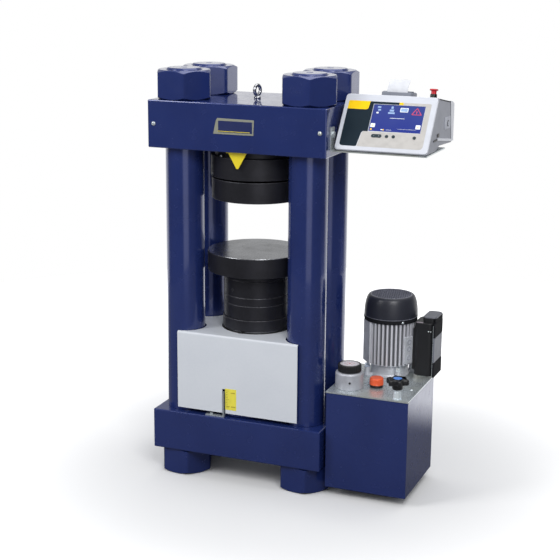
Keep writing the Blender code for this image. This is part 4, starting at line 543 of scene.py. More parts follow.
# Light grey painted as the highlight along the cowl's bead and the grille's rolled rim.
RIM_HIGHLIGHT = "black_plastic", moulded("rim_highlight_grey", (126, 128, 140), 0.35, depth=0.1)
DARK_CAP = "grey_plastic", moulded("dark_cap", (96, 98, 106), depth=0.2)
SHEET_GREY = "grey_plastic", moulded("sheet_grey", (112, 115, 126))
LEDGE_GREY = "grey_plastic", moulded("ledge_grey", (160, 150, 160), 0.4, depth=0.1)
BLUE_CAP = "black_plastic", moulded("blue_cap", (70, 130, 214), 0.35, 900, 0.1, 0.2)
KEY_BLACK = "black_plastic", moulded("key_black", (34, 50, 58), 0.4)
LID_GREY = "grey_plastic", moulded("lid_grey", (128, 132, 142))
PORT_GREY = "grey_plastic", moulded("port_grey", (176, 179, 190))
SCALE_BROWN = "grey_plastic", printed("scale_brown", (170, 150, 52))
SCALE_YELLOW = "yellow", printed("scale_yellow", (238, 226, 84))
DIAL_FACE = "white_plastic", printed("dial_face", (206, 202, 208), 0.35)
TEAL = "white_plastic", printed("teal_ink", (12, 32, 44), 0.6)
YELLOW_INK = "yellow", printed("yellow_ink", (250, 205, 10), 0.42)
BEIGE = "white_plastic", printed("pale_ink", (188, 185, 181), 0.42)
PIXEL_WHITE = "white_plastic", printed("pixel_white", (235, 240, 246), 0.4)
PIXEL_PALE = "screen_glass", printed("pixel_pale", (150, 176, 214), 0.4)
PIXEL_RED = "red_plastic", printed("pixel_red", (206, 78, 104), 0.4)


# Pieces: each takes its place from the CAD nodes and rides on a body

def make(name, surface, finish, node=None, body="frame", sharp=34, rim=None):
    """Put a piece in the scene: close its seams and poles, point it outwards, shade it and set it on its body.

    finish is a slot of the record, or a slot with a material of the piece's own; the slot is not used, only the
    material. node is what it stands for.
    """
    points, faces = surface
    slot, material = finish if isinstance(finish, tuple) else (finish, LOOKS[finish])
    mesh = bpy.data.meshes.new(name)
    mesh.from_pydata(np.asarray(points, float).tolist(), [], faces)
    if rim is not None:
        mesh.attributes.new("rim", "FLOAT", "POINT").data.foreach_set("value", np.asarray(rim, np.float32))
    bm = bmesh.new()
    bm.from_mesh(mesh)
    bmesh.ops.remove_doubles(bm, verts=bm.verts[:], dist=1e-6)
    bmesh.ops.dissolve_degenerate(bm, edges=bm.edges[:], dist=1e-7)
    bmesh.ops.recalc_face_normals(bm, faces=bm.faces[:])
    bm.to_mesh(mesh)
    bm.free()
    mesh.shade_smooth()
    mesh.set_sharp_from_angle(angle=math.radians(sharp))
    mesh.materials.append(material)
    piece = bpy.data.objects.new(name, mesh)
    bpy.context.scene.collection.objects.link(piece)
    weights = piece.modifiers.new("even_shading", "WEIGHTED_NORMAL")
    weights.keep_sharp = True
    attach(piece, body)
    if node:
        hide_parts(node)


def box(node):
    """Lowest and highest corner of a CAD node, as arrays."""
    low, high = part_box(node)
    return np.array(low), np.array(high)


def middle(node):
    """Middle of a CAD node's box."""
    low, high = box(node)
    return (low + high) / 2


def axis_of(node):
    """The point on the floor under the middle of a CAD node."""
    return middle(node) * (1, 1, 0)


def ends(node):
    """Bottom, top and half width of a CAD node."""
    low, high = box(node)
    return low[2], high[2], (high[0] - low[0]) / 2


def turned_piece(node, profile, finish, body, sides=96, hollow=False, rubbed_and_lit=None, reach=0.0012):
    """A turned piece for a CAD node: its corners are softened, and the marked ones carry a paler rim, rubbed bare
    metal and a painted edge highlight.
    """
    marked = np.zeros(len(profile)) if rubbed_and_lit is None else np.asarray(rubbed_and_lit, float)
    crest = marked[:, None] * np.sin(np.linspace(0, math.pi, 5))
    shares = crest.ravel() if hollow else np.concatenate([[0], crest[1:-1].ravel(), [0]])
    rim = np.repeat(np.clip(shares, 0, 1), sides)
    surface = moved(turned(softened(profile, reach, 4, hollow), sides, hollow), axis_of(node))
    make(node + "_finish", surface, finish, node, body, rim=rim)


# The camera stands where the photograph was taken

RAM = axis_of("lower_platen")


def at(x, y, z):
    """A point given from the floor under the ram's axis."""
    return RAM + (x, y, z)


def place_camera():
    """Camera with its roll: right and up turned about the line of sight."""
    yaw, pitch, roll = math.radians(21.8288), math.radians(-13.9392), math.radians(0.4713)
    ahead = np.array([-math.sin(yaw) * math.cos(pitch), math.cos(yaw) * math.cos(pitch), math.sin(pitch)])
    right = np.array([math.cos(yaw), math.sin(yaw), 0])
    up = np.cross(right, ahead)
    matrix = np.eye(4)
    matrix[:3, 0] = math.cos(roll) * right + math.sin(roll) * up
    matrix[:3, 1] = math.cos(roll) * up - math.sin(roll) * right
    matrix[:3, 2] = -ahead
    matrix[:3, 3] = at(1.431178, -3.393382, 1.4825)
    camera = bpy.data.objects.new("camera", bpy.data.cameras.new("camera"))
    bpy.context.scene.collection.objects.link(camera)
    camera.data.sensor_width = 36
    camera.data.lens = 36 * 1319.28 / 560
    camera.data.clip_end = 60
    camera.matrix_world = mathutils.Matrix(matrix.tolist())
    bpy.context.scene.camera = camera


def soft_box(name, place, target, size, power):
    """A soft box that looks at a point."""
    light = bpy.data.lights.new(name, "AREA")
    light.shape = "RECTANGLE"
    light.size, light.size_y = size
    light.energy = power
    holder = bpy.data.objects.new(name, light)
    bpy.context.scene.collection.objects.link(holder)
    aim = mathutils.Vector(target) - mathutils.Vector(place)
    holder.location = place
    holder.rotation_euler = aim.to_track_quat("-Z", "Y").to_euler()


BLACK, WHITE = (0, 0, 0, 1), (1, 1, 1, 1)
FLOOR_SEEN = (0.80, 0.80, 0.80, 1)
FLOOR_IN_FRONT = (0.16, 0.16, 0.17, 1)
EVEN_LIGHT = (0.58, 0.59, 0.61, 1)
STRIP_LIGHT = 1.00
CEILING_LIGHT = 0.45
ROOM_LIGHT = 0.09


def make_floor():
    """White floor that keeps the shadow. Gloss and bounced light see it dim in front and white at the back."""
    points, faces = turned([(0, 0), (1.2, 0), (2.6, 0)], 96)
    mesh = bpy.data.meshes.new("studio_floor")
    mesh.from_pydata(points.tolist(), [], faces)
    ground = bpy.data.objects.new("studio_floor", mesh)
    bpy.context.scene.collection.objects.link(ground)
    ground.location = (0, 0, -0.0004)
    finish = Finish("studio_floor", (238, 238, 240), 0.9)
    finish.give("Specular IOR Level", 0.0)
    finish.give("Emission Strength", 1.0)
    seen, gloss = finish.ray("Camera"), finish.ray("Glossy", "Transmission")
    x, y = finish.axis("X"), finish.axis("Y")
    far = ((x * x + y * y) ** 0.5).between(0.45, 1.50)
    behind = y.between(0.45, 0.80)
    unseen = finish.blend(behind, FLOOR_IN_FRONT, FLOOR_SEEN)
    finish.give("Base Color", finish.blend(seen, unseen, FLOOR_SEEN))
    glow = seen * far * 0.7 + gloss * behind * 0.6
    finish.give("Emission Color", finish.blend(glow.least(1.0), BLACK, WHITE))
    mesh.materials.append(finish.material)


def make_world():
    """White behind the object, a dim room in front, a pale strip beside the camera and a pale ceiling."""
    world = bpy.data.worlds.new("studio")
    bpy.context.scene.world = world
    world.use_nodes = True
    room = Nodes(world.node_tree)
    way = room.add("ShaderNodeTexCoord", {}, {}, "Generated")
    x, y, z = (room.add("ShaderNodeSeparateXYZ", {}, {"Vector": way}, name) for name in "XYZ")
    flat = ((x * x + y * y) ** 0.5).most(0.001)
    front = (x * 0.372 - y * 0.928) / flat
    beside = (x * 0.469 - y * 0.883) / flat
    back = (1 - front.between(-0.60, -0.30)) * (1 - z.between(0.05, 0.30) * 0.60)
    strip = beside.between(0.940, 0.985) * STRIP_LIGHT
    ceiling = z.between(0.45, 0.80) * CEILING_LIGHT
    share = back.most(strip).most(ceiling).most(ROOM_LIGHT)
    glossy = room.blend(room.ray("Glossy", "Transmission"), EVEN_LIGHT, room.blend(share, BLACK, WHITE))
    shown = room.blend(room.ray("Camera"), glossy, WHITE)
    room.feed(room.tree.nodes["Background"].inputs["Color"], shown)


place_camera()
make_floor()
make_world()
soft_box("key_box", (1.9, -2.9, 3.2), (0, 0, 0.6), (1.6, 1.6), 74)
soft_box("left_box", (-2.6, -2.7, 2.7), (0, 0, 0.6), (1.4, 2.0), 66)
soft_box("top_box", (0.2, 0.6, 3.4), (0, 0, 0.5), (2.4, 2.4), 34)
bpy.context.scene.view_settings.view_transform = "Standard"


# Press frame and ram

PLACES = ("front_left", "front_right", "rear_left", "rear_right")
NUT_TURN = {"front_left": 54, "front_right": 50, "rear_left": 32, "rear_right": 32}
THREAD = 0.050
SEAT_GAP = 0.0003
SPIGOT, SPIGOT_RISE = 0.030, 0.005
SOCKET, SOCKET_DEPTH = 0.0308, 0.0053
TO_FRONT = dict(x=(1, 0, 0), z=(0, -1, 0))
TO_SIDE = dict(x=(0, 1, 0), z=(1, 0, 0))


def finish_cad_nodes():
    """Every CAD node that stays in sight gets the finish of its slot in the record."""
    for part in frame["record"]["subparts"]:
        node = frame["nodes"][part["node"]]
        node.data.materials.clear()
        node.data.materials.append(LOOKS[part["material_slot"]])


def finer_columns():
    """Columns: softened shoulders, chamfered thread ends and a centre drilling on top."""
    low_shoulder = box("base_plate")[1][2] + SEAT_GAP
    high_shoulder = box("crosshead")[0][2] - SEAT_GAP
    chamfer, drilling = 0.0045, 0.006
    for place in PLACES:
        bottom, top, body = ends("column_" + place)
        profile = [
            (0, bottom), (THREAD - chamfer, bottom), (THREAD, bottom + chamfer), (THREAD, low_shoulder),
            (body, low_shoulder), (body, high_shoulder), (THREAD, high_shoulder), (THREAD, top - chamfer),
            (THREAD - chamfer, top), (0.009, top), (0.003, top - drilling), (0, top - drilling)]
        turned_piece("column_" + place, profile, "blue_paint", "frame", 128)


def finer_nuts():
    """Nuts on both blocks, turned as they were tightened."""
    for place in PLACES:
        for kind, across in (("top_nut_", 0.145), ("foot_nut_", 0.137)):
            bottom, top, _ = ends(kind + place)
            nut = hexagon_nut(across, top - bottom, THREAD + 0.0008)
            nut = moved(nut, axis_of(kind + place) + (0, 0, bottom), toward(NUT_TURN[place]))
            make(kind + place + "_finish", nut, "blue_paint", kind + place, sharp=28)


def finer_jack():
    """Cylinder with its bore, the wiper ring in its mouth and the piston."""
    bottom, top, outer = ends("cylinder_body")
    bore, edge = 0.093, 0.004
    groove, floor = bore + 0.0063, bottom + 0.045
    profile = [
        (0, bottom), (outer - edge, bottom), (outer, bottom + edge), (outer, top - edge), (outer - edge, top),
        (groove, top), (groove, top - edge), (bore, top - edge), (bore, floor), (0, floor)]
    turned_piece("cylinder_body", profile, "blue_paint", "frame", 128)
    bottom, top, outer = ends("ram_wiper_ring")
    ring = [(bore, bottom), (outer, bottom), (outer, top - 0.0016), (outer - 0.0022, top), (bore, top - 0.001)]
    turned_piece("ram_wiper_ring", ring, "rubber", "frame", 128, True, reach=0.0006)
    bottom, top, radius = ends("piston")
    face = top - SPIGOT_RISE
    plunger = [(0, bottom), (radius, bottom), (radius, face), (SPIGOT, face), (SPIGOT, top), (0, top)]
    turned_piece("piston", plunger, "ground_steel", "ram", 128)


def finer_stack():
    """Distance pieces with paler rims, rubbed bare and painted as edge highlights, and the lower platen: black sides
    and a ground face.
    """
    for number in range(1, 6):
        node = "distance_piece_" + str(number)
        bottom, top, radius = ends(node)
        roof, face = bottom + SOCKET_DEPTH, top - SPIGOT_RISE
        profile = [(0, roof), (SOCKET, roof), (SOCKET, bottom), (radius, bottom), (radius, face),
                   (SPIGOT, face), (SPIGOT, top), (0, top)]
        turned_piece(node, profile, "black_oxide", "ram", 128, rubbed_and_lit=(0, 0, 0, 0.8, 1, 0, 0, 0), reach=0.0021)
    bottom, top, radius = ends("lower_platen")
    roof, face = bottom + SOCKET_DEPTH, top - 0.0006
    profile = [(0, roof), (SOCKET, roof), (SOCKET, bottom), (radius, bottom), (radius, face), (0, face)]
    turned_piece("lower_platen", profile, "black_oxide", "ram", 160, rubbed_and_lit=(0, 0, 0, 0.5, 0.9, 0), reach=0.0016)
    bevel, rest = 0.0017, 0.0020
    disc = turned([(0, face), (radius - bevel, face), (radius - rest, top), (0, top)], 160)
    make("lower_platen_face", moved(disc, RAM), "ground_steel", body="ram")


def pin_hole(name, node, azimuth, height, radius, body):
    """A small hole with a bright rim, drilled in a round side, its inside a shallow dark disc as painted shade."""
    out = toward(azimuth)
    place = at(0, 0, height) + out * ends(node)[2]
    deep, proud, wall = -0.0006, 0.0003, radius + 0.0006
    rim = lathe([(radius, deep), (wall, deep), (wall, proud), (radius, proud)], 0.0002, 32, 2, True)
    # Painted shade: a shallow dark disc stands for the dark inside of the hole.
    hole_shade = turned([(0, deep), (radius + 0.0001, deep), (radius + 0.0001, 0.0001), (0, 0.0001)], 32)
    make(name + "_rim", moved(rim, place, (0, 0, 1), out), "ground_steel", body=body)
    make(name, moved(hole_shade, place, (0, 0, 1), out), "rubber", body=body)


def finer_upper_platen():
    """Platen with its ball, the seat with its flange and screws, and the dust ring between them."""
    low, _, radius = ends("upper_platen")
    thickness, ball, gap = 0.0585, 0.105, 0.0006
    face = low + 0.0006

    def arc(reach, start, end, count):
        """Points round the ball's centre: (r cos a, low + r sin a)."""
        a = np.linspace(start, end, count)
        return np.stack([reach * np.cos(a), low + reach * np.sin(a)], -1)

    ball_top = math.sqrt(ball ** 2 - SPIGOT ** 2)
    dome = arc(ball, math.asin(thickness / ball), math.asin(ball_top / ball), 14)
    profile = [(0, face), (radius, face), (radius, low + thickness), *dome, (0, dome[-1, 1])]
    # Rim shares on the outer corners: rubbed bare metal and a painted edge highlight.
    rubbed_and_lit = [0, 0.8, 0.9] + [0] * (len(profile) - 3)
    turned_piece("upper_platen", profile, "black_oxide", "upper_platen_body", 160, rubbed_and_lit=rubbed_and_lit, reach=0.0016)
    bevel, rest = 0.0017, 0.0020
    disc = turned([(0, low), (radius - rest, low), (radius - bevel, face), (0, face)], 160)
    make("upper_platen_face", moved(disc, axis_of("upper_platen")), "ground_steel", body="upper_platen_body")

    bottom, top, _ = ends("ball_seat_housing")
    neck, flange, mouth = 0.118, 0.130, 0.0975
    ledge, recess = top - 0.021, bottom + 0.0125
    bowl = arc(ball + gap, math.asin((recess - low) / (ball + gap)), math.pi / 2, 16)
    bowl[-1, 0] = 0
    profile = [(0, top), (neck, top), (neck, ledge), (flange, ledge), (flange, bottom), (mouth, bottom),
               (mouth, recess), *bowl]
    # Rim shares on the flange's corners: rubbed bare metal and a painted edge highlight.
    rubbed_and_lit = [0, 0, 0, 0.7, 0.9, 0.4, 0] + [0] * len(bowl)
    turned_piece("ball_seat_housing", profile, "black_oxide", "frame", 160, rubbed_and_lit=rubbed_and_lit, reach=0.0015)
    ring_low, ring_high, _ = ends("ball_dust_ring")
    inner = [math.sqrt((ball + gap) ** 2 - (z - low) ** 2) for z in (ring_low, ring_high)]
    ring = [(inner[0], ring_low), (0.0915, ring_low), (0.0915, ring_high), (inner[1], ring_high)]
    turned_piece("ball_dust_ring", ring, "rubber", "ball_ring", 128, True, reach=0.0005)
    screws = []
    for azimuth in (-120, 0, 120):
        screws.append(moved(cap_screw(0.0052, 0.0058, 0.004), at(0, 0, ledge) + 0.1235 * toward(azimuth)))
        out = toward(azimuth - 19)
        place = at(0, 0, bottom + 0.008) + 0.1296 * out
        screws.append(moved(cap_screw(0.0042, 0.0018, 0.004), place, (0, 0, 1), out))
    make("seat_screws", joined(*screws), "ground_steel")


def finer_eyebolt():
    """Eyebolt: a ring of round wire that runs into its necked collar, and the washer under it."""
    top = box("crosshead")[1][2]
    t = np.arange(64) * TAU / 64
    loop, wire = 0.0135, 0.0048
    eye = top + 0.007 + loop + 0.0024
    ring = swept(np.stack([0 * t, loop * np.cos(t), eye + loop * np.sin(t)], -1), wire, 24)
    neck = lathe([(0, top - 0.018), (0.006, top - 0.018), (0.006, top + 0.0003), (0.010, top + 0.0003),
                  (0.010, top + 0.0038), (0.0060, top + 0.0075), (0.0056, eye - 0.0125), (0, eye - 0.0125)],
                 0.0016, 48, 4)
    parts = joined(moved(neck, RAM), moved(ring, RAM, toward(77 - 90)))
    make("eyebolt_finish", parts, "chrome", "eyebolt")


def trim_crosshead():
    """Domed screws, and the bare nameplate with its raised rim and one line."""
    front = box("crosshead")[0][1]
    screws = [moved(dome_screw(0.0062, 0.0042, 0.0022), (RAM[0] + x, front, 1.023), **TO_FRONT)
              for x in (-0.244, 0.244)]
    make("crosshead_screws", joined(*screws), "zinc")
    where = (RAM[0], front, 0)
    outline = softened([(-0.0632, 1.0055), (0.0548, 1.0059), (0.0565, 1.0474), (-0.0511, 1.0486), (-0.0553, 1.0422)],
                       0.0012, 3, True)
    rim = slab(outline, 0, 0.0012, 0.0004)
    field = plate(0.0995, 0.0308, 0.001, 0.0011, 0.0016, 0.0002, 6, (0.00155, 1.0264))
    line = plate(0.0941, 0.0014, 0.0004, 0.0015, 0.0019, 0.0001, 3, (-0.00215, 1.01365))
    make("nameplate", moved(rim, where, **TO_FRONT), PLATE_GREY)
    make("nameplate_field", moved(field, where, **TO_FRONT), FIELD)
    make("nameplate_line", moved(line, where, **TO_FRONT), "yellow")


def finer_guard_trim():
    """The clip on the guard's top, the plain scale strip on its front and the screw in the bracket's slot."""
    low, high = box("cylinder_guard")
    clip = plate(0.016, 0.007, 0.002, 0, 0.004, 0.0012)
    make("guard_clip", moved(clip, at(-0.0065, -0.100, high[2])), "black_plastic")
    strip_low, strip_high = 0.2174, 0.2806
    centre = (RAM[0] - 0.01735, low[1], (strip_low + strip_high) / 2)
    strip = plate(0.0341, strip_high - strip_low, 0.001, 0, 0.0003, 0.0001)
    make("travel_scale", moved(strip, centre, **TO_FRONT), SCALE_YELLOW)
    marks = []
    for number in range(11):
        long = 0.010 if number % 5 == 0 else 0.006
        marks.append(plate(long, 0.0006, 0.0002, 0.0002, 0.0004, 0, 2,
                           (-0.0150 + long / 2, -0.0250 + number * 0.005)))
    make("travel_scale_marks", moved(joined(*marks), centre, **TO_FRONT), "black_plastic")
    bars = [plate(wide, 0.0022, 0.0006, 0.0002, 0.0004, 0, 2, (x, z))
            for wide, x, z in ((0.0130, 0.0070, 0.0200), (0.0100, -0.0080, -0.0212), (0.0140, 0.0075, -0.0212))]
    bars = moved(joined(*bars), centre, **TO_FRONT)
    make("travel_scale_bars", bars, SCALE_BROWN)
    bracket = box("travel_bracket")[0]
    screw = cap_screw(0.0042, 0.0042, 0.003)
    washer = lathe([(0, 0), (0.006, 0), (0.006, 0.001), (0, 0.001)], 0.0003, 40)
    place = (bracket[0] + 0.017, bracket[1] + 0.006, box("base_plate")[1][2] + 0.0033)
    make("travel_bracket_screw", moved(joined(screw, washer), place), "zinc")


# Hydraulic unit

def trim_tank():
    """Screws round the lid's edge and the drain plug at the tank's back."""
    low, high = box("tank_lid")
    places = [(low[0] + 0.017, high[1] - 0.037), (high[0] - 0.017, high[1] - 0.037), (low[0] + 0.017, low[1] + 0.150)]
    places += [RAM[:2] + (0.3152, -0.0976), RAM[:2] + (0.4792, -0.0270)]
    screws = [moved(dome_screw(0.0048, 0.0026, 0.0017), (*place, high[2])) for place in places]
    make("lid_screws", joined(*screws), "zinc")
    low, high = box("oil_tank")
    place = ((low[0] + high[0]) / 2, high[1], low[2] + 0.022)
    make("drain_plug", moved(bolt_head(0.019, 0.008), place, (1, 0, 0), (0, 1, 0)), "zinc")


def finer_motor_flange(axis):
    """Flange casting: a waisted collar, and four lugs with their posts and bolts."""
    base = box("motor_flange")[0][2]
    height, foot, waist, lip = 0.0405, 0.0560, 0.0535, 0.0585
    casting = [lathe([(0, 0), (foot, 0), (foot, 0.006), (waist, 0.010), (waist, height - 0.009),
                      (lip, height - 0.004), (lip, height), (0, height)], 0.002, 96, 4)]
    bolts = []
    turn = np.linspace(-math.pi / 2, math.pi / 2, 13)
    lug_reach, lug_round = 0.068, 0.010
    lug = np.concatenate([[(0.030, lug_round), (0.030, -lug_round)],
                          np.stack([lug_reach + lug_round * np.cos(turn), lug_round * np.sin(turn)], -1)])
    post = lathe([(0, 0.004), (0.0082, 0.004), (0.0075, 0.026), (0, 0.026)], 0.001, 40, 3)
    for quarter in range(4):
        out = toward(38.4 + quarter * 90)
        casting += [moved(slab(lug, 0, 0.008, 0.0015, 0.0005), x=out), moved(post, out * lug_reach)]
        bolts.append(moved(bolt_head(0.013, 0.0085), out * lug_reach + (0, 0, 0.026)))
    place = axis + (0, 0, base)
    make("motor_flange_casting", moved(joined(*casting), place), PAD_METAL, "motor_flange")
    make("motor_flange_bolts", moved(joined(*bolts), place), FITTING)


def finer_motor_body(axis):
    """Finned body, r = root + (tip - root) / (1 + exp(-9 (cos 36t + 0.12))), with its two pads."""
    bottom, top, _ = ends("motor_body")
    fins, root, tip, edge = 36, 0.0640, 0.0730, 0.0012
    t = np.arange(fins * 12) * TAU / (fins * 12)
    rise = 1 / (1 + np.exp(-9 * (np.cos(fins * t) + 0.12)))
    radius = root + (tip - root) * rise
    outline = np.stack([radius * np.cos(t), radius * np.sin(t)], -1)
    body = carried(outline, [(edge, bottom), (0, bottom + edge), (0, top - edge), (edge, top)])
    # The rim attribute rises to 1 at the fin tips; the fin finish paints shade towards the roots by it.
    make("motor_fins", moved(body, axis), FIN_METAL, "motor_body", sharp=40, rim=np.tile(rise, 4))
    out, side = toward(-28), toward(62)
    centre = axis + (0, 0, bottom + 0.006 + 0.039)
    pad = plate(0.034, 0.078, 0.002, 0.045, 0.0752, 0.0008)
    make("motor_pad", moved(pad, centre, side, out), PAD_METAL)
    ring = lathe([(0.0050, 0.0740), (0.0072, 0.0740), (0.0072, 0.0766), (0.0050, 0.0766)], 0.0005, 32, 2, True)
    rings = [moved(ring, centre + (0, 0, up), side, out) for up in (-0.022, 0.004, 0.024)]
    make("motor_pad_bosses", joined(*rings), ("cast_aluminium", PORT_GREY[1]))
    rail = plate(0.0165, 0.048, 0.0015, bottom + 0.0004, top - 0.014, 0.001, 4, (0.06505, 0))
    make("motor_rail", moved(rail, axis, toward(219)), PAD_METAL)


def finer_cowl(axis):
    """Domed cowl over its black band, with a bead, a wire grille of two crossed families, a rim and screws; the bead
    and the rim are light grey as painted highlights.
    """
    bottom, top, _ = ends("fan_cowl")
    inside, lip, band, crown, band_top = 0.0733, 0.0762, 0.0753, 0.0610, bottom + 0.0123
    mouth, grille_reach = 0.0565, 0.0572
    turn = np.linspace(0, math.pi / 2, 15)
    shoulder = np.stack([crown + (lip - crown) * np.cos(turn), band_top + (top - band_top) * np.sin(turn)], -1)
    outer = [(inside, bottom), (band, bottom), (band, band_top - 0.0012), (lip, band_top + 0.0006), *shoulder[1:]]
    inner = [(mouth, top), (mouth, top - 0.003), *(shoulder - (0.002, 0.002))[::-1][1:], (inside, band_top)]
    cowl = turned(outer + inner, 128, True)
    skirt = lathe([(0.0731, bottom - 0.0001), (band + 0.0004, bottom - 0.0001), (band + 0.0004, band_top - 0.0008),
                   (0.0731, band_top - 0.0008)], 0.0004, 128, 2, True)
    bead = lathe([(band, band_top - 0.0006), (lip + 0.0004, band_top - 0.0006), (lip + 0.0004, band_top + 0.0008),
                  (band, band_top + 0.0008)], 0.0005, 128, 3, True)
    make("cowl_band", moved(skirt, axis), MATT_BLACK)
    # The bead's light grey is a painted highlight along its edge.
    make("cowl_bead", moved(bead, axis), RIM_HIGHLIGHT)
    families = []
    for angle, depth in ((-32, 0.0003), (58, 0.0018)):
        wires = []
        for row in range(-6, 7):
            offset = row * 0.0088
            half = math.sqrt(grille_reach ** 2 - offset ** 2)
            wires.append(plate(2 * half, 0.0014, 0.0006, top - depth - 0.0018, top - depth, 0.0006, 2, (0, offset)))
        families.append(moved(joined(*wires), axis, toward(angle)))
    make("fan_cowl_shell", moved(cowl, axis), COWL_BLACK, "fan_cowl", sharp=40)
    make("fan_grille", joined(*families), GRILLE_GREY)
    # The grille rim's light grey is a painted highlight on its rolled edge.
    rim = lathe([(0.0562, top - 0.001), (0.0592, top - 0.001), (0.0588, top + 0.0006), (0.0566, top + 0.0006)],
                0.0006, 96, 3, True)
    make("grille_rim", moved(rim, axis), RIM_HIGHLIGHT)
    screws = []
    for azimuth in (-46.3, 73.7, -166.3):
        out = toward(azimuth)
        place = axis + 0.0756 * out + (0, 0, bottom + 0.005)
        screws.append(moved(dome_screw(0.0040, 0.0024, 0.001), place, (0, 0, 1), out))
    make("cowl_screws", joined(*screws), "zinc")


def upright(x0, y0, x1, y1, corner):
    """The plan of an upright block between two corners."""
    return rectangle(x1 - x0, y1 - y0, corner, 10, ((x0 + x1) / 2, (y0 + y1) / 2))


def finer_switch_box():
    """Switch box: a rounded column, a head under its grey cap, the side sheet and its black end blocks."""
    low, high = box("switch_box")
    cover_low, cover_high = box("switch_cover")
    left, right, front, rear = RAM[0] + 0.4537, high[0], low[1], high[1]
    motor_top, motor_y = box("motor_body")[1][2], middle("motor_body")[1]
    ledge = motor_top - 0.0076
    head_front, head_top = front + 0.009, high[2]
    body = slab(upright(left, front, right, rear, 0.0175), low[2], ledge, 0.0025, 0.003)
    neck = slab(upright(low[0], motor_y - 0.025, left + 0.02, motor_y + 0.025, 0.003), low[2] + 0.014,
                motor_top - 0.0263, 0.002)
    head = slab(upright(right - 0.035, head_front, right, rear, 0.010), ledge - 0.013, head_top, 0.0015, 0.0015)
    make("switch_box_finish", joined(body, neck, head), "black_plastic", "switch_box")
    start = cover_high[0] - 0.005
    cap = slab(upright(cover_low[0], head_front - 0.0015, cover_high[0], rear + 0.0015, 0.011), head_top + 0.0003,
               cover_high[2], 0.0035, 0.0008, 6)
    make("switch_cap", cap, DARK_CAP, "switch_cover")
    y0, y1 = cover_low[1], cover_high[1]

    def side_plate(z0, z1, thick, corner=0.003, y0=y0):
        """A plate on the outer side, between two heights."""
        block = plate(y1 - y0, z1 - z0, corner, 0, thick, 0.0010, 4)
        return moved(block, (start, (y0 + y1) / 2, (z0 + z1) / 2), **TO_SIDE)

    sheet = side_plate(0.3640, 0.4358, 0.0042)
    make("switch_side_sheet", sheet, SHEET_GREY, "switch_cover")
    blocks = joined(side_plate(cover_low[2], 0.3635, 0.005), side_plate(0.4363, ledge, 0.005),
                    side_plate(ledge - 0.0002, head_top + 0.0002, 0.0045, 0.0015, head_front))
    make("switch_end_blocks", blocks, MATT_BLACK, "switch_cover")
    strip = plate(0.0012, ledge - low[2] - 0.010, 0.0005, 0, 0.0010, 0.0004, 2)
    place = (start - 0.0007, y0 + 0.0010, (low[2] + ledge) / 2)
    make("switch_edge_strip", moved(strip, place, **TO_FRONT), "zinc")
    stripe = slab(upright(left + 0.006, front + 0.0020, cover_low[0] + 0.004, front + 0.0072, 0.0022),
                  ledge - 0.0002, ledge + 0.0008, 0.0003)
    make("switch_ledge_line", stripe, LEDGE_GREY)
    screws = [moved(dome_screw(0.0022, 0.0014, 0.0007), (RAM[0] + x, front + 0.0002, z), **TO_FRONT)
              for x, z in ((0.4965, 0.4537), (0.5030, 0.4539))]
    make("switch_screws", joined(*screws), "zinc")
    feet = [moved(bolt_head(0.011, 0.0075), (x, front + 0.022, low[2] + 0.0008), (1, 0, 0), (0, 0, -1))
            for x in (left + 0.014, left + 0.026)]
    make("switch_feet", joined(*feet), "zinc")


def finer_flow_valve():
    """Flow valve with its port, and the knob: ribs clip(1.6 cos 32t) round it, a dial with ticks and red marks."""
    bottom, top, radius = ends("valve_body")
    shoulder, stem = top - 0.010, 0.008
    profile = [(0, bottom), (radius, bottom), (radius, shoulder - 0.004), (radius - 0.003, shoulder),
               (stem, shoulder), (stem, top), (0, top)]
    turned_piece("valve_body", profile, "cast_aluminium", "frame", 96)
    axis = axis_of("valve_body")
    out = toward(-70)
    port = lathe([(0, -0.0004), (0.0048, -0.0004), (0.0048, 0.0004), (0.0034, 0.0004), (0.0034, -0.0002),
                  (0, -0.0002)], 0.0002)
    # Painted shade: a shallow dark disc stands for the dark inside of the port.
    port_shade = turned([(0, -0.0004), (0.0033, -0.0004), (0.0033, 0.0001), (0, 0.0001)], 32)
    where = axis + radius * out + (0, 0, bottom + 0.022)
    make("valve_port_rim", moved(port, where, (0, 0, 1), out), "cast_aluminium")
    make("valve_port_shade", moved(port_shade, where, (0, 0, 1), out), "rubber")

    bottom, top, _ = ends("flow_knob")
    t = np.arange(320) * TAU / 320
    rib = 0.03275 + (np.clip(np.cos(32 * t) * 1.6, -1, 1) * 0.0005 - 0.0005)
    skirt = carried(np.stack([rib * np.cos(t), rib * np.sin(t)], -1), [
        (0.0016, bottom), (0.0002, bottom + 0.0012), (0, bottom + 0.002), (0, top - 0.0035), (0.0006, top - 0.0015),
        (0.0022, top - 0.0002), (0.0050, top), (0.0056, top - 0.001)])
    make("flow_knob_finish", moved(skirt, axis), "black_plastic", "flow_knob", "flow_knob_body", sharp=40)
    under, face = top - 0.0011, top - 0.0005
    dial = lathe([(0, under), (0.0262, under), (0.0262, face), (0, face)], 0.0002, 96)
    make("flow_dial", moved(dial, axis), DIAL_FACE, body="flow_knob_body")
    ticks = []
    for number in range(40):
        long, wide = (0.0050, 0.0007) if number % 4 == 0 else (0.0028, 0.0004)
        tick = plate(long, wide, 0.0001, top - 0.0006, top - 0.0003, 0, 1, (0.0248 - long / 2, 0))
        ticks.append(moved(tick, axis, toward(9 * number)))
    make("flow_dial_ticks", joined(*ticks), "black_plastic", body="flow_knob_body")
    reds = [moved(slab(circle(0.0026, 24), top - 0.0006, top - 0.0002), axis)]
    for number in range(6):
        red = plate(0.0050, 0.0011, 0.0004, top - 0.0006, top - 0.0002, 0, 2, (0.0125, 0))
        reds.append(moved(red, axis, toward(60 * number + math.degrees(0.3))))
    make("flow_dial_reds", joined(*reds), "red_plastic", body="flow_knob_body")


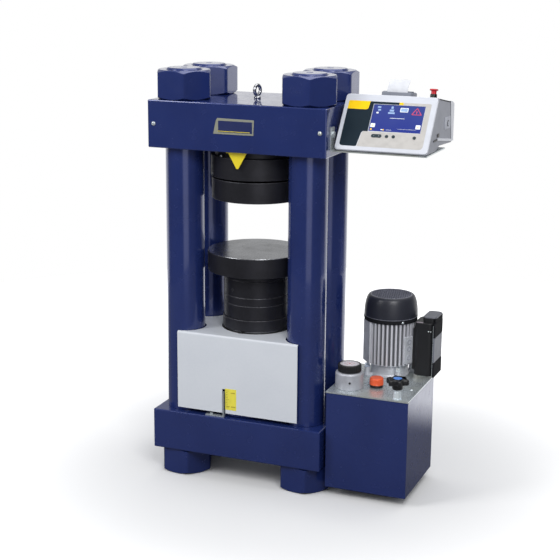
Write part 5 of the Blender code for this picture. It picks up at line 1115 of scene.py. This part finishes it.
def finer_filler():
    """Filler neck and its cap: the cap's grip adds clip(2 cos 30t) / 2 mm to the radius between its rims."""
    bottom, top, _ = ends("filler_neck")
    ring = [(0.010, bottom), (0.0185, bottom), (0.0185, bottom + 0.007), (0.014, bottom + 0.007), (0.014, top),
            (0.010, top)]
    turned_piece("filler_neck", ring, "black_plastic", "frame", 64, True, reach=0.001)
    bottom, top, _ = ends("filler_cap")
    roof, rim, shelf = bottom + 0.0103, bottom + 0.0026, top - 0.0006
    profile = [(0, roof), (0.0145, roof), (0.0145, bottom), (0.0195, bottom), (0.0195, bottom + 0.0022),
               (0.0190, rim), (0.0190, top - 0.003), (0.0165, top), (0.013, shelf), (0, shelf)]
    points, faces = lathe(profile, 0.0009, 240, 3)
    reach = np.hypot(points[:, 0], points[:, 1])
    angle = np.arctan2(points[:, 1], points[:, 0])
    share = np.clip((points[:, 2] - rim) / 0.001, 0, 1) * np.clip((top - 0.003 - points[:, 2]) / 0.002, 0, 1)
    grip = 0.0005 * np.clip(np.cos(30 * angle) * 2, -1, 1) * share * (reach > 0.0178)
    points[:, :2] *= (1 + grip / np.maximum(reach, 1e-6))[:, None]
    cap = moved((points, faces), axis_of("filler_cap"))
    make("filler_cap_finish", cap, "orange_plastic", "filler_cap", "filler_cap_body", sharp=40)


def finer_release_valve():
    """Release valve: hexagon, necked stem and spindle, under a knob with six lobes r = 26.5 + 5.5 cos 6t mm."""
    base, top, _ = ends("release_valve")
    hexagon = moved(bolt_head(0.0195, 0.0150), (0, 0, base))
    stem = lathe([(0, base + 0.0075), (0.010, base + 0.0075), (0.010, base + 0.0205), (0.0085, base + 0.0215),
                  (0.0085, base + 0.0235), (0.010, base + 0.0245), (0.010, base + 0.027), (0.005, base + 0.027),
                  (0.005, top), (0, top)], 0.0008, 64, 3)
    axis = axis_of("release_valve")
    make("release_valve_finish", moved(joined(hexagon, stem), axis), FITTING, "release_valve")
    bore, roof = 0.0054, top + 0.0006
    bottom, top, _ = ends("lobed_knob")
    t = np.arange(240) * TAU / 240
    lobes = 0.0265 + 0.0055 * np.cos(6 * t)
    under = top - 0.017
    wheel = carried(np.stack([lobes * np.cos(t), lobes * np.sin(t)], -1), [
        (0.010, under + 0.0006), (0.004, under), (0.0012, under + 0.0012), (0, under + 0.004), (0, top - 0.005),
        (0.0012, top - 0.0022), (0.0035, top - 0.0008), (0.008, top)])
    hub = lathe([(0, roof), (bore, roof), (bore, bottom), (0.0130, bottom), (0.0145, bottom + 0.002),
                 (0.0145, under - 0.001), (0.018, under + 0.003), (0, under + 0.003)], 0.0012, 64, 4)
    knob = moved(joined(wheel, hub), axis)
    make("lobed_knob_finish", knob, "black_plastic", "lobed_knob", "lobed_knob_body", sharp=50)
    cap = lathe([(0, top - 0.0006), (0.0118, top - 0.0006), (0.0118, top + 0.0005), (0.009, top + 0.0012),
                 (0, top + 0.0016)], 0.0005, 48, 3)
    make("lobed_knob_cap", moved(cap, axis), BLUE_CAP, body="lobed_knob_body")


# Console: its sloping face, and the roof that falls to the rear

TILT = math.radians(35.96)
ACROSS = np.array([1.0, 0, 0])
UP = np.array([0, math.sin(TILT), math.cos(TILT)])
OUT = np.array([0, -math.cos(TILT), math.sin(TILT)])
CONSOLE = at(0.27498, -0.1342, 0.9824)
ROOF_SLOPE = math.atan(0.0215 / 0.1364)
ROOF_OUT = np.array([0, math.sin(ROOF_SLOPE), math.cos(ROOF_SLOPE)])
ROOF_DOWN = np.array([0, math.cos(ROOF_SLOPE), -math.sin(ROOF_SLOPE)])
CREST = (-0.0184, 1.1150)
KEY_ROW = 0.0452
SCREEN = -0.0007


def on_face(surface):
    """A shape drawn on the console's sloping face: X along it, Y up it and Z out of it."""
    return moved(surface, CONSOLE, ACROSS, OUT)


def foil(name, outline, reach, steps, low, finish):
    """A printed foil on the face, 0.2 mm thick."""
    make(name, on_face(slab(softened(outline, reach, steps, True), low, low + 0.0002)), finish)


def finer_face():
    """Printed foils round the display."""
    foil("face_foil_dark", [
        (0.0115, 0.1475), (0.0115, 0.0118), (0.0585, 0.0118), (0.0655, 0.0575), (0.0815, 0.0575), (0.0815, 0.1407),
        (0.1515, 0.1407), (0.1515, 0.1475)],
        [0.004, 0.010, 0.003, 0.006, 0.001, 0.001, 0.001, 0.001], 5, 0, TEAL)
    foil("face_foil_yellow", [(0.0117, 0.1477), (0.0117, 0.1225), (0.0690, 0.1225), (0.0712, 0.1477)],
         [0.003, 0.0005, 0.006, 0.0005], 5, 0.0002, YELLOW_INK)
    foil("face_foil_mark", [(0.1515, 0.1475), (0.1515, 0.1407), (0.1620, 0.1407), (0.1632, 0.1475)],
         0.0006, 2, 0.0001, YELLOW_INK)
    foil("face_foil_pale", [
        (0.0600, 0.0118), (0.2335, 0.0118), (0.2385, 0.0200), (0.2385, 0.1475), (0.1640, 0.1475), (0.1625, 0.1407),
        (0.2245, 0.1407), (0.2245, 0.0588), (0.0670, 0.0572)],
        [0.001, 0.008, 0.006, 0.004, 0.0005, 0.0005, 0.0005, 0.0005, 0.006], 5, 0, BEIGE)


def tile(wide, tall, u, v, corner=0.001, lift=0.0002):
    """A small tile on the display."""
    return plate(wide, tall, corner, SCREEN - 0.0001, SCREEN + lift, 0, 3, (u, v))


def tiles(*places):
    """Several tiles on the display as one surface."""
    return on_face(joined(*(tile(*place) for place in places)))


def finer_display():
    """Plain blocks, a machine's outline, a triangle and lines on the display."""
    white = tiles((0.0130, 0.0120, 0.0912, 0.0768, 0.002), (0.0130, 0.0125, 0.2142, 0.0777, 0.002),
                  (0.0220, 0.0130, 0.1680, 0.1262, 0.0015), (0.0060, 0.0045, 0.0965, 0.1150),
                  (0.0060, 0.0028, 0.1180, 0.0650), (0.0150, 0.0008, 0.1365, 0.0650, 0.0003))
    make("screen_buttons", white, PIXEL_WHITE)
    marks = tiles((0.0050, 0.0040, 0.0885, 0.0650), (0.0040, 0.0040, 0.1222, 0.0650),
                  (0.0035, 0.0020, 0.0905, 0.0770, 0.0005, 0.0004), (0.0035, 0.0020, 0.2138, 0.0780, 0.0005, 0.0004))
    make("screen_marks", marks, YELLOW_INK)
    press = tiles((0.0180, 0.0050, 0.1345, 0.1155), (0.0120, 0.0060, 0.1345, 0.1230),
                  (0.0060, 0.0070, 0.1345, 0.1320), (0.0095, 0.0045, 0.0990, 0.1320),
                  (0.0075, 0.0050, 0.1005, 0.1235), (0.0180, 0.0095, 0.1680, 0.1262, 0.001, 0.0003))
    make("screen_pictures", press, PIXEL_PALE)
    apex, left, right = np.array([(0.2025, 0.1335), (0.1900, 0.1140), (0.2160, 0.1140)])
    legs = []
    for start, end in ((apex, left), (left, right), (right, apex)):
        across, up = end - start
        u, v = (start + end) / 2
        bar = plate(math.hypot(across, up) + 0.0018, 0.0020, 0.0009, SCREEN - 0.0001, SCREEN + 0.0002, 0, 3)
        legs.append(moved(bar, CONSOLE + u * ACROSS + v * UP, across * ACROSS + up * UP, OUT))
    legs.append(tiles((0.0022, 0.0070, 0.2028, 0.1215), (0.0022, 0.0016, 0.2028, 0.1165)))
    make("screen_triangle", joined(*legs), PIXEL_RED)
    lines = tiles((0.0400, 0.0011, 0.1535, 0.1003, 0.0003), (0.0500, 0.0005, 0.1850, 0.0690, 0.0002))
    make("screen_lines", lines, PIXEL_WHITE)


def finer_keys():
    """Keys in their row, and the menu key's two signs."""
    for node, wide, tall in (("menu_key", 0.0285, 0.0100), ("start_key", 0.009, 0.009), ("stop_key", 0.009, 0.009),
                             ("power_key", 0.009, 0.009)):
        u = middle(node)[0] - CONSOLE[0]
        key = plate(wide, tall, tall / 2.01, -0.0026, 0.0015, 0.0006, 12, (u, KEY_ROW))
        make(node + "_finish", on_face(key), KEY_BLACK, node, node + "_body")
    signs = [plate(wide, tall, 0.0002, 0.0014, 0.0017, 0, 2, (u, KEY_ROW))
             for wide, tall, u in ((0.0030, 0.0005, 0.1015), (0.0005, 0.0030, 0.1145), (0.0030, 0.0005, 0.1145))]
    make("menu_key_signs", on_face(joined(*signs)), "white_plastic", body="menu_key_body")


def finer_stop():
    """Emergency stop: its collar, and the mushroom button on its stem."""
    behind = 0.0124
    stop = at(0, CREST[0] + behind, CREST[1] - behind * math.tan(ROOF_SLOPE))
    stop[0] = middle("stop_collar")[0]
    collar = lathe([(0.0075, 0.0003), (0.009, 0.0003), (0.009, 0.011), (0.0075, 0.011)], 0.0006, 64, 3, True)
    make("stop_collar_finish", moved(collar, stop, ACROSS, ROOF_OUT), COLLAR_GREY, "stop_collar")
    head = lathe([(0, -0.006), (0.0065, -0.006), (0.0065, 0.0070), (0.0071, 0.0078), (0.0071, 0.0190),
                  (0.0115, 0.0205), (0.0115, 0.0232), (0.0100, 0.0245), (0, 0.0245)], 0.0010, 64, 4)
    button = moved(head, stop, ACROSS, ROOF_OUT)
    make("stop_button_finish", button, "red_plastic", "stop_button", "stop_button_body")


def finer_printer(hinge):
    """Printer lid with rounded edges, ribs and a finger lip, and the bar, with a dark plate before it painted as the
    shadow in the gap.
    """
    def on_roof(surface):
        """A shape drawn on the roof from the lid's hinge: X along the hinge and Z out of the roof."""
        return moved(surface, hinge, ACROSS, ROOF_OUT)

    lid = slab(rectangle(0.088, 0.042, 0.008, 8, (0, -0.021)), 0.0003, 0.0145, 0.0042, 0.0008)
    make("printer_lid_finish", on_roof(lid), LID_GREY, "printer_lid", "printer_lid_body")
    ridges = [plate(0.070, 0.0010, 0.0004, 0.0142, 0.0149, 0.0003, 2, (0, -0.012 - row * 0.004)) for row in range(3)]
    ridges.append(plate(0.0215, 0.006, 0.002, 0.0138, 0.0156, 0.0006, 4, (0.0325, -0.0385)))
    make("printer_lid_ribs", on_roof(joined(*ridges)), LID_GREY, body="printer_lid_body")
    bar = slab(rectangle(0.082, 0.0064, 0.0022, 5, (0, -0.0488)), -0.0008, 0.0118, 0.0020, 0.0004)
    make("printer_bar", on_roof(bar), LID_GREY)
    # A dark plate painted as the shadow in the gap before the bar.
    gap = plate(0.080, 0.0030, 0.001, -0.0006, 0.0030, 0, 2, (0, -0.0438))
    make("printer_shadow_gap", on_roof(gap), "rubber")


def finer_paper(hinge):
    """Paper: wound as a spiral, straight up through the slot, then curling: forward as s^2 and at one corner."""
    radius, sheet, width, columns = 0.019, 0.0006, 0.057, 17
    slot = -0.042 - 0.0015
    centre = np.array([slot + radius, -0.050 + 0.0003 + radius])
    wind = np.linspace(-0.5 * math.pi, math.pi * 0.96, 40)
    reach = radius - sheet / 2 - (math.pi - wind) * 0.00008
    spiral = centre + reach[:, None] * np.stack([np.cos(wind), np.sin(wind)], -1)
    straight = np.stack([np.full(8, slot + sheet / 2), np.linspace(centre[1] + 0.001, 0.0130, 8)], -1)
    share = np.linspace(0, 1, 12)
    tail = np.stack([slot + sheet / 2 + 0.010 * share ** 2, 0.0145 + 0.0318 * share], -1)
    line = np.concatenate([spiral, straight, tail])
    run = np.gradient(line, axis=0)
    run /= np.linalg.norm(run, axis=1, keepdims=True)
    across = np.stack([run[:, 1], -run[:, 0]], -1) * sheet / 2
    section = np.concatenate([line + across, (line - across)[::-1]])
    along = np.linspace(-width / 2, width / 2, columns)[None]
    bend = np.clip((section[:, 1:] - 0.016) / 0.0300, 0, 1)
    lean = 0.0045 * bend ** 1.5
    curl = 0.0030 * bend ** 3 * np.clip(along / (width / 2), 0, 1) ** 4
    rows = np.broadcast_arrays(along + lean, section[:, :1] - curl, section[:, 1:])
    points, faces = lattice(np.stack(rows, -1), True, False)
    first = [row * columns for row in range(len(section))]
    faces = faces + [first, [number + columns - 1 for number in first][::-1]]
    sheet = moved((points, faces), hinge, ACROSS, ROOF_OUT)
    make("paper_roll_finish", sheet, "paper", "paper_roll", sharp=60)


def side_patch(outline, low, high, edge=0.0004):
    """A shape drawn on the console's right side as (y, z) points from the ram's axis, raised from low to high."""
    place = (box("console_housing")[1][0], RAM[1], 0)
    return moved(slab(outline, low, high, edge, 0), place, **TO_SIDE)


def trim_housing():
    """Rear shell's pale end band, and on its side the dark seams, the port, the latches and the foot strip."""
    low, high = box("console_housing")
    rear = middle("console_housing")[1]
    band = softened([(0.1100, 0.9862), (0.1337, 0.9855), (0.1337, 1.0870), (0.1200, 1.0938), (0.0945, 1.0980)],
                    0.0025, 3, True)
    shell = slab(band + (RAM[1] - rear, 0), 0, high[0] - low[0] + 0.0012, 0.0012)
    make("housing_end_band", moved(shell, (low[0] - 0.0006, rear, 0), **TO_SIDE), "white_plastic")
    upright_seam = [(0.0917, 1.0975), (0.1088, 0.9920), (0.1100, 0.9920), (0.0929, 1.0975)]
    upper_seam = [(-0.0160, 1.1108), (0.0905, 1.0940), (0.0905, 1.0962), (-0.0160, 1.1130)]
    seams = joined(side_patch(upright_seam, -0.0002, 0.0006), side_patch(upper_seam, -0.0004, 0.0008, 0.0002))
    make("housing_seams", seams, "rubber")
    port = (0.0690, 1.0400)
    recess = rectangle(0.058, 0.033, 0.005, 5, (0.0660, 1.0420))
    make("housing_port_frame", side_patch(recess, 0, 0.0012), PORT_GREY)
    make("housing_port", side_patch(circle(0.0085, 40, port), 0.0010, 0.0020), "black_plastic")
    make("housing_port_face", side_patch(circle(0.0058, 40, port), 0.0018, 0.0026), PORT_GREY)
    latches = [side_patch(rectangle(0.019, 0.009, 0.001, 3, (-0.0270, 1.0185)), 0, 0.0016),
               side_patch(rectangle(0.036, 0.0048, 0.001, 3, (-0.0530, 1.0080)), 0, 0.0016)]
    make("housing_latches", joined(*latches), "black_plastic")
    strip = softened([(-0.0310, 1.0050), (0.1080, 0.9868), (0.1080, 0.9935), (-0.0310, 1.0120)], 0.0015, 3, True)
    make("housing_foot_strip", side_patch(strip, 0, 0.0020, 0.0008), "white_plastic")


MOTOR_AXIS = axis_of("motor_flange")
LID_HINGE = at(0.40348, *CREST) + ROOF_DOWN * (0.0184 + 0.045)

finish_cad_nodes()
finer_columns()
finer_nuts()
finer_jack()
finer_stack()
finer_upper_platen()
pin_hole("stack_ring_hole", "distance_piece_4", -113.4, 0.555, 0.0030, "ram")
finer_eyebolt()
trim_crosshead()
finer_guard_trim()
trim_tank()
finer_motor_flange(MOTOR_AXIS)
finer_motor_body(MOTOR_AXIS)
finer_cowl(MOTOR_AXIS)
finer_switch_box()
finer_flow_valve()
finer_filler()
finer_release_valve()
finer_face()
finer_display()
finer_keys()
finer_stop()
finer_printer(LID_HINGE)
finer_paper(LID_HINGE)
trim_housing()
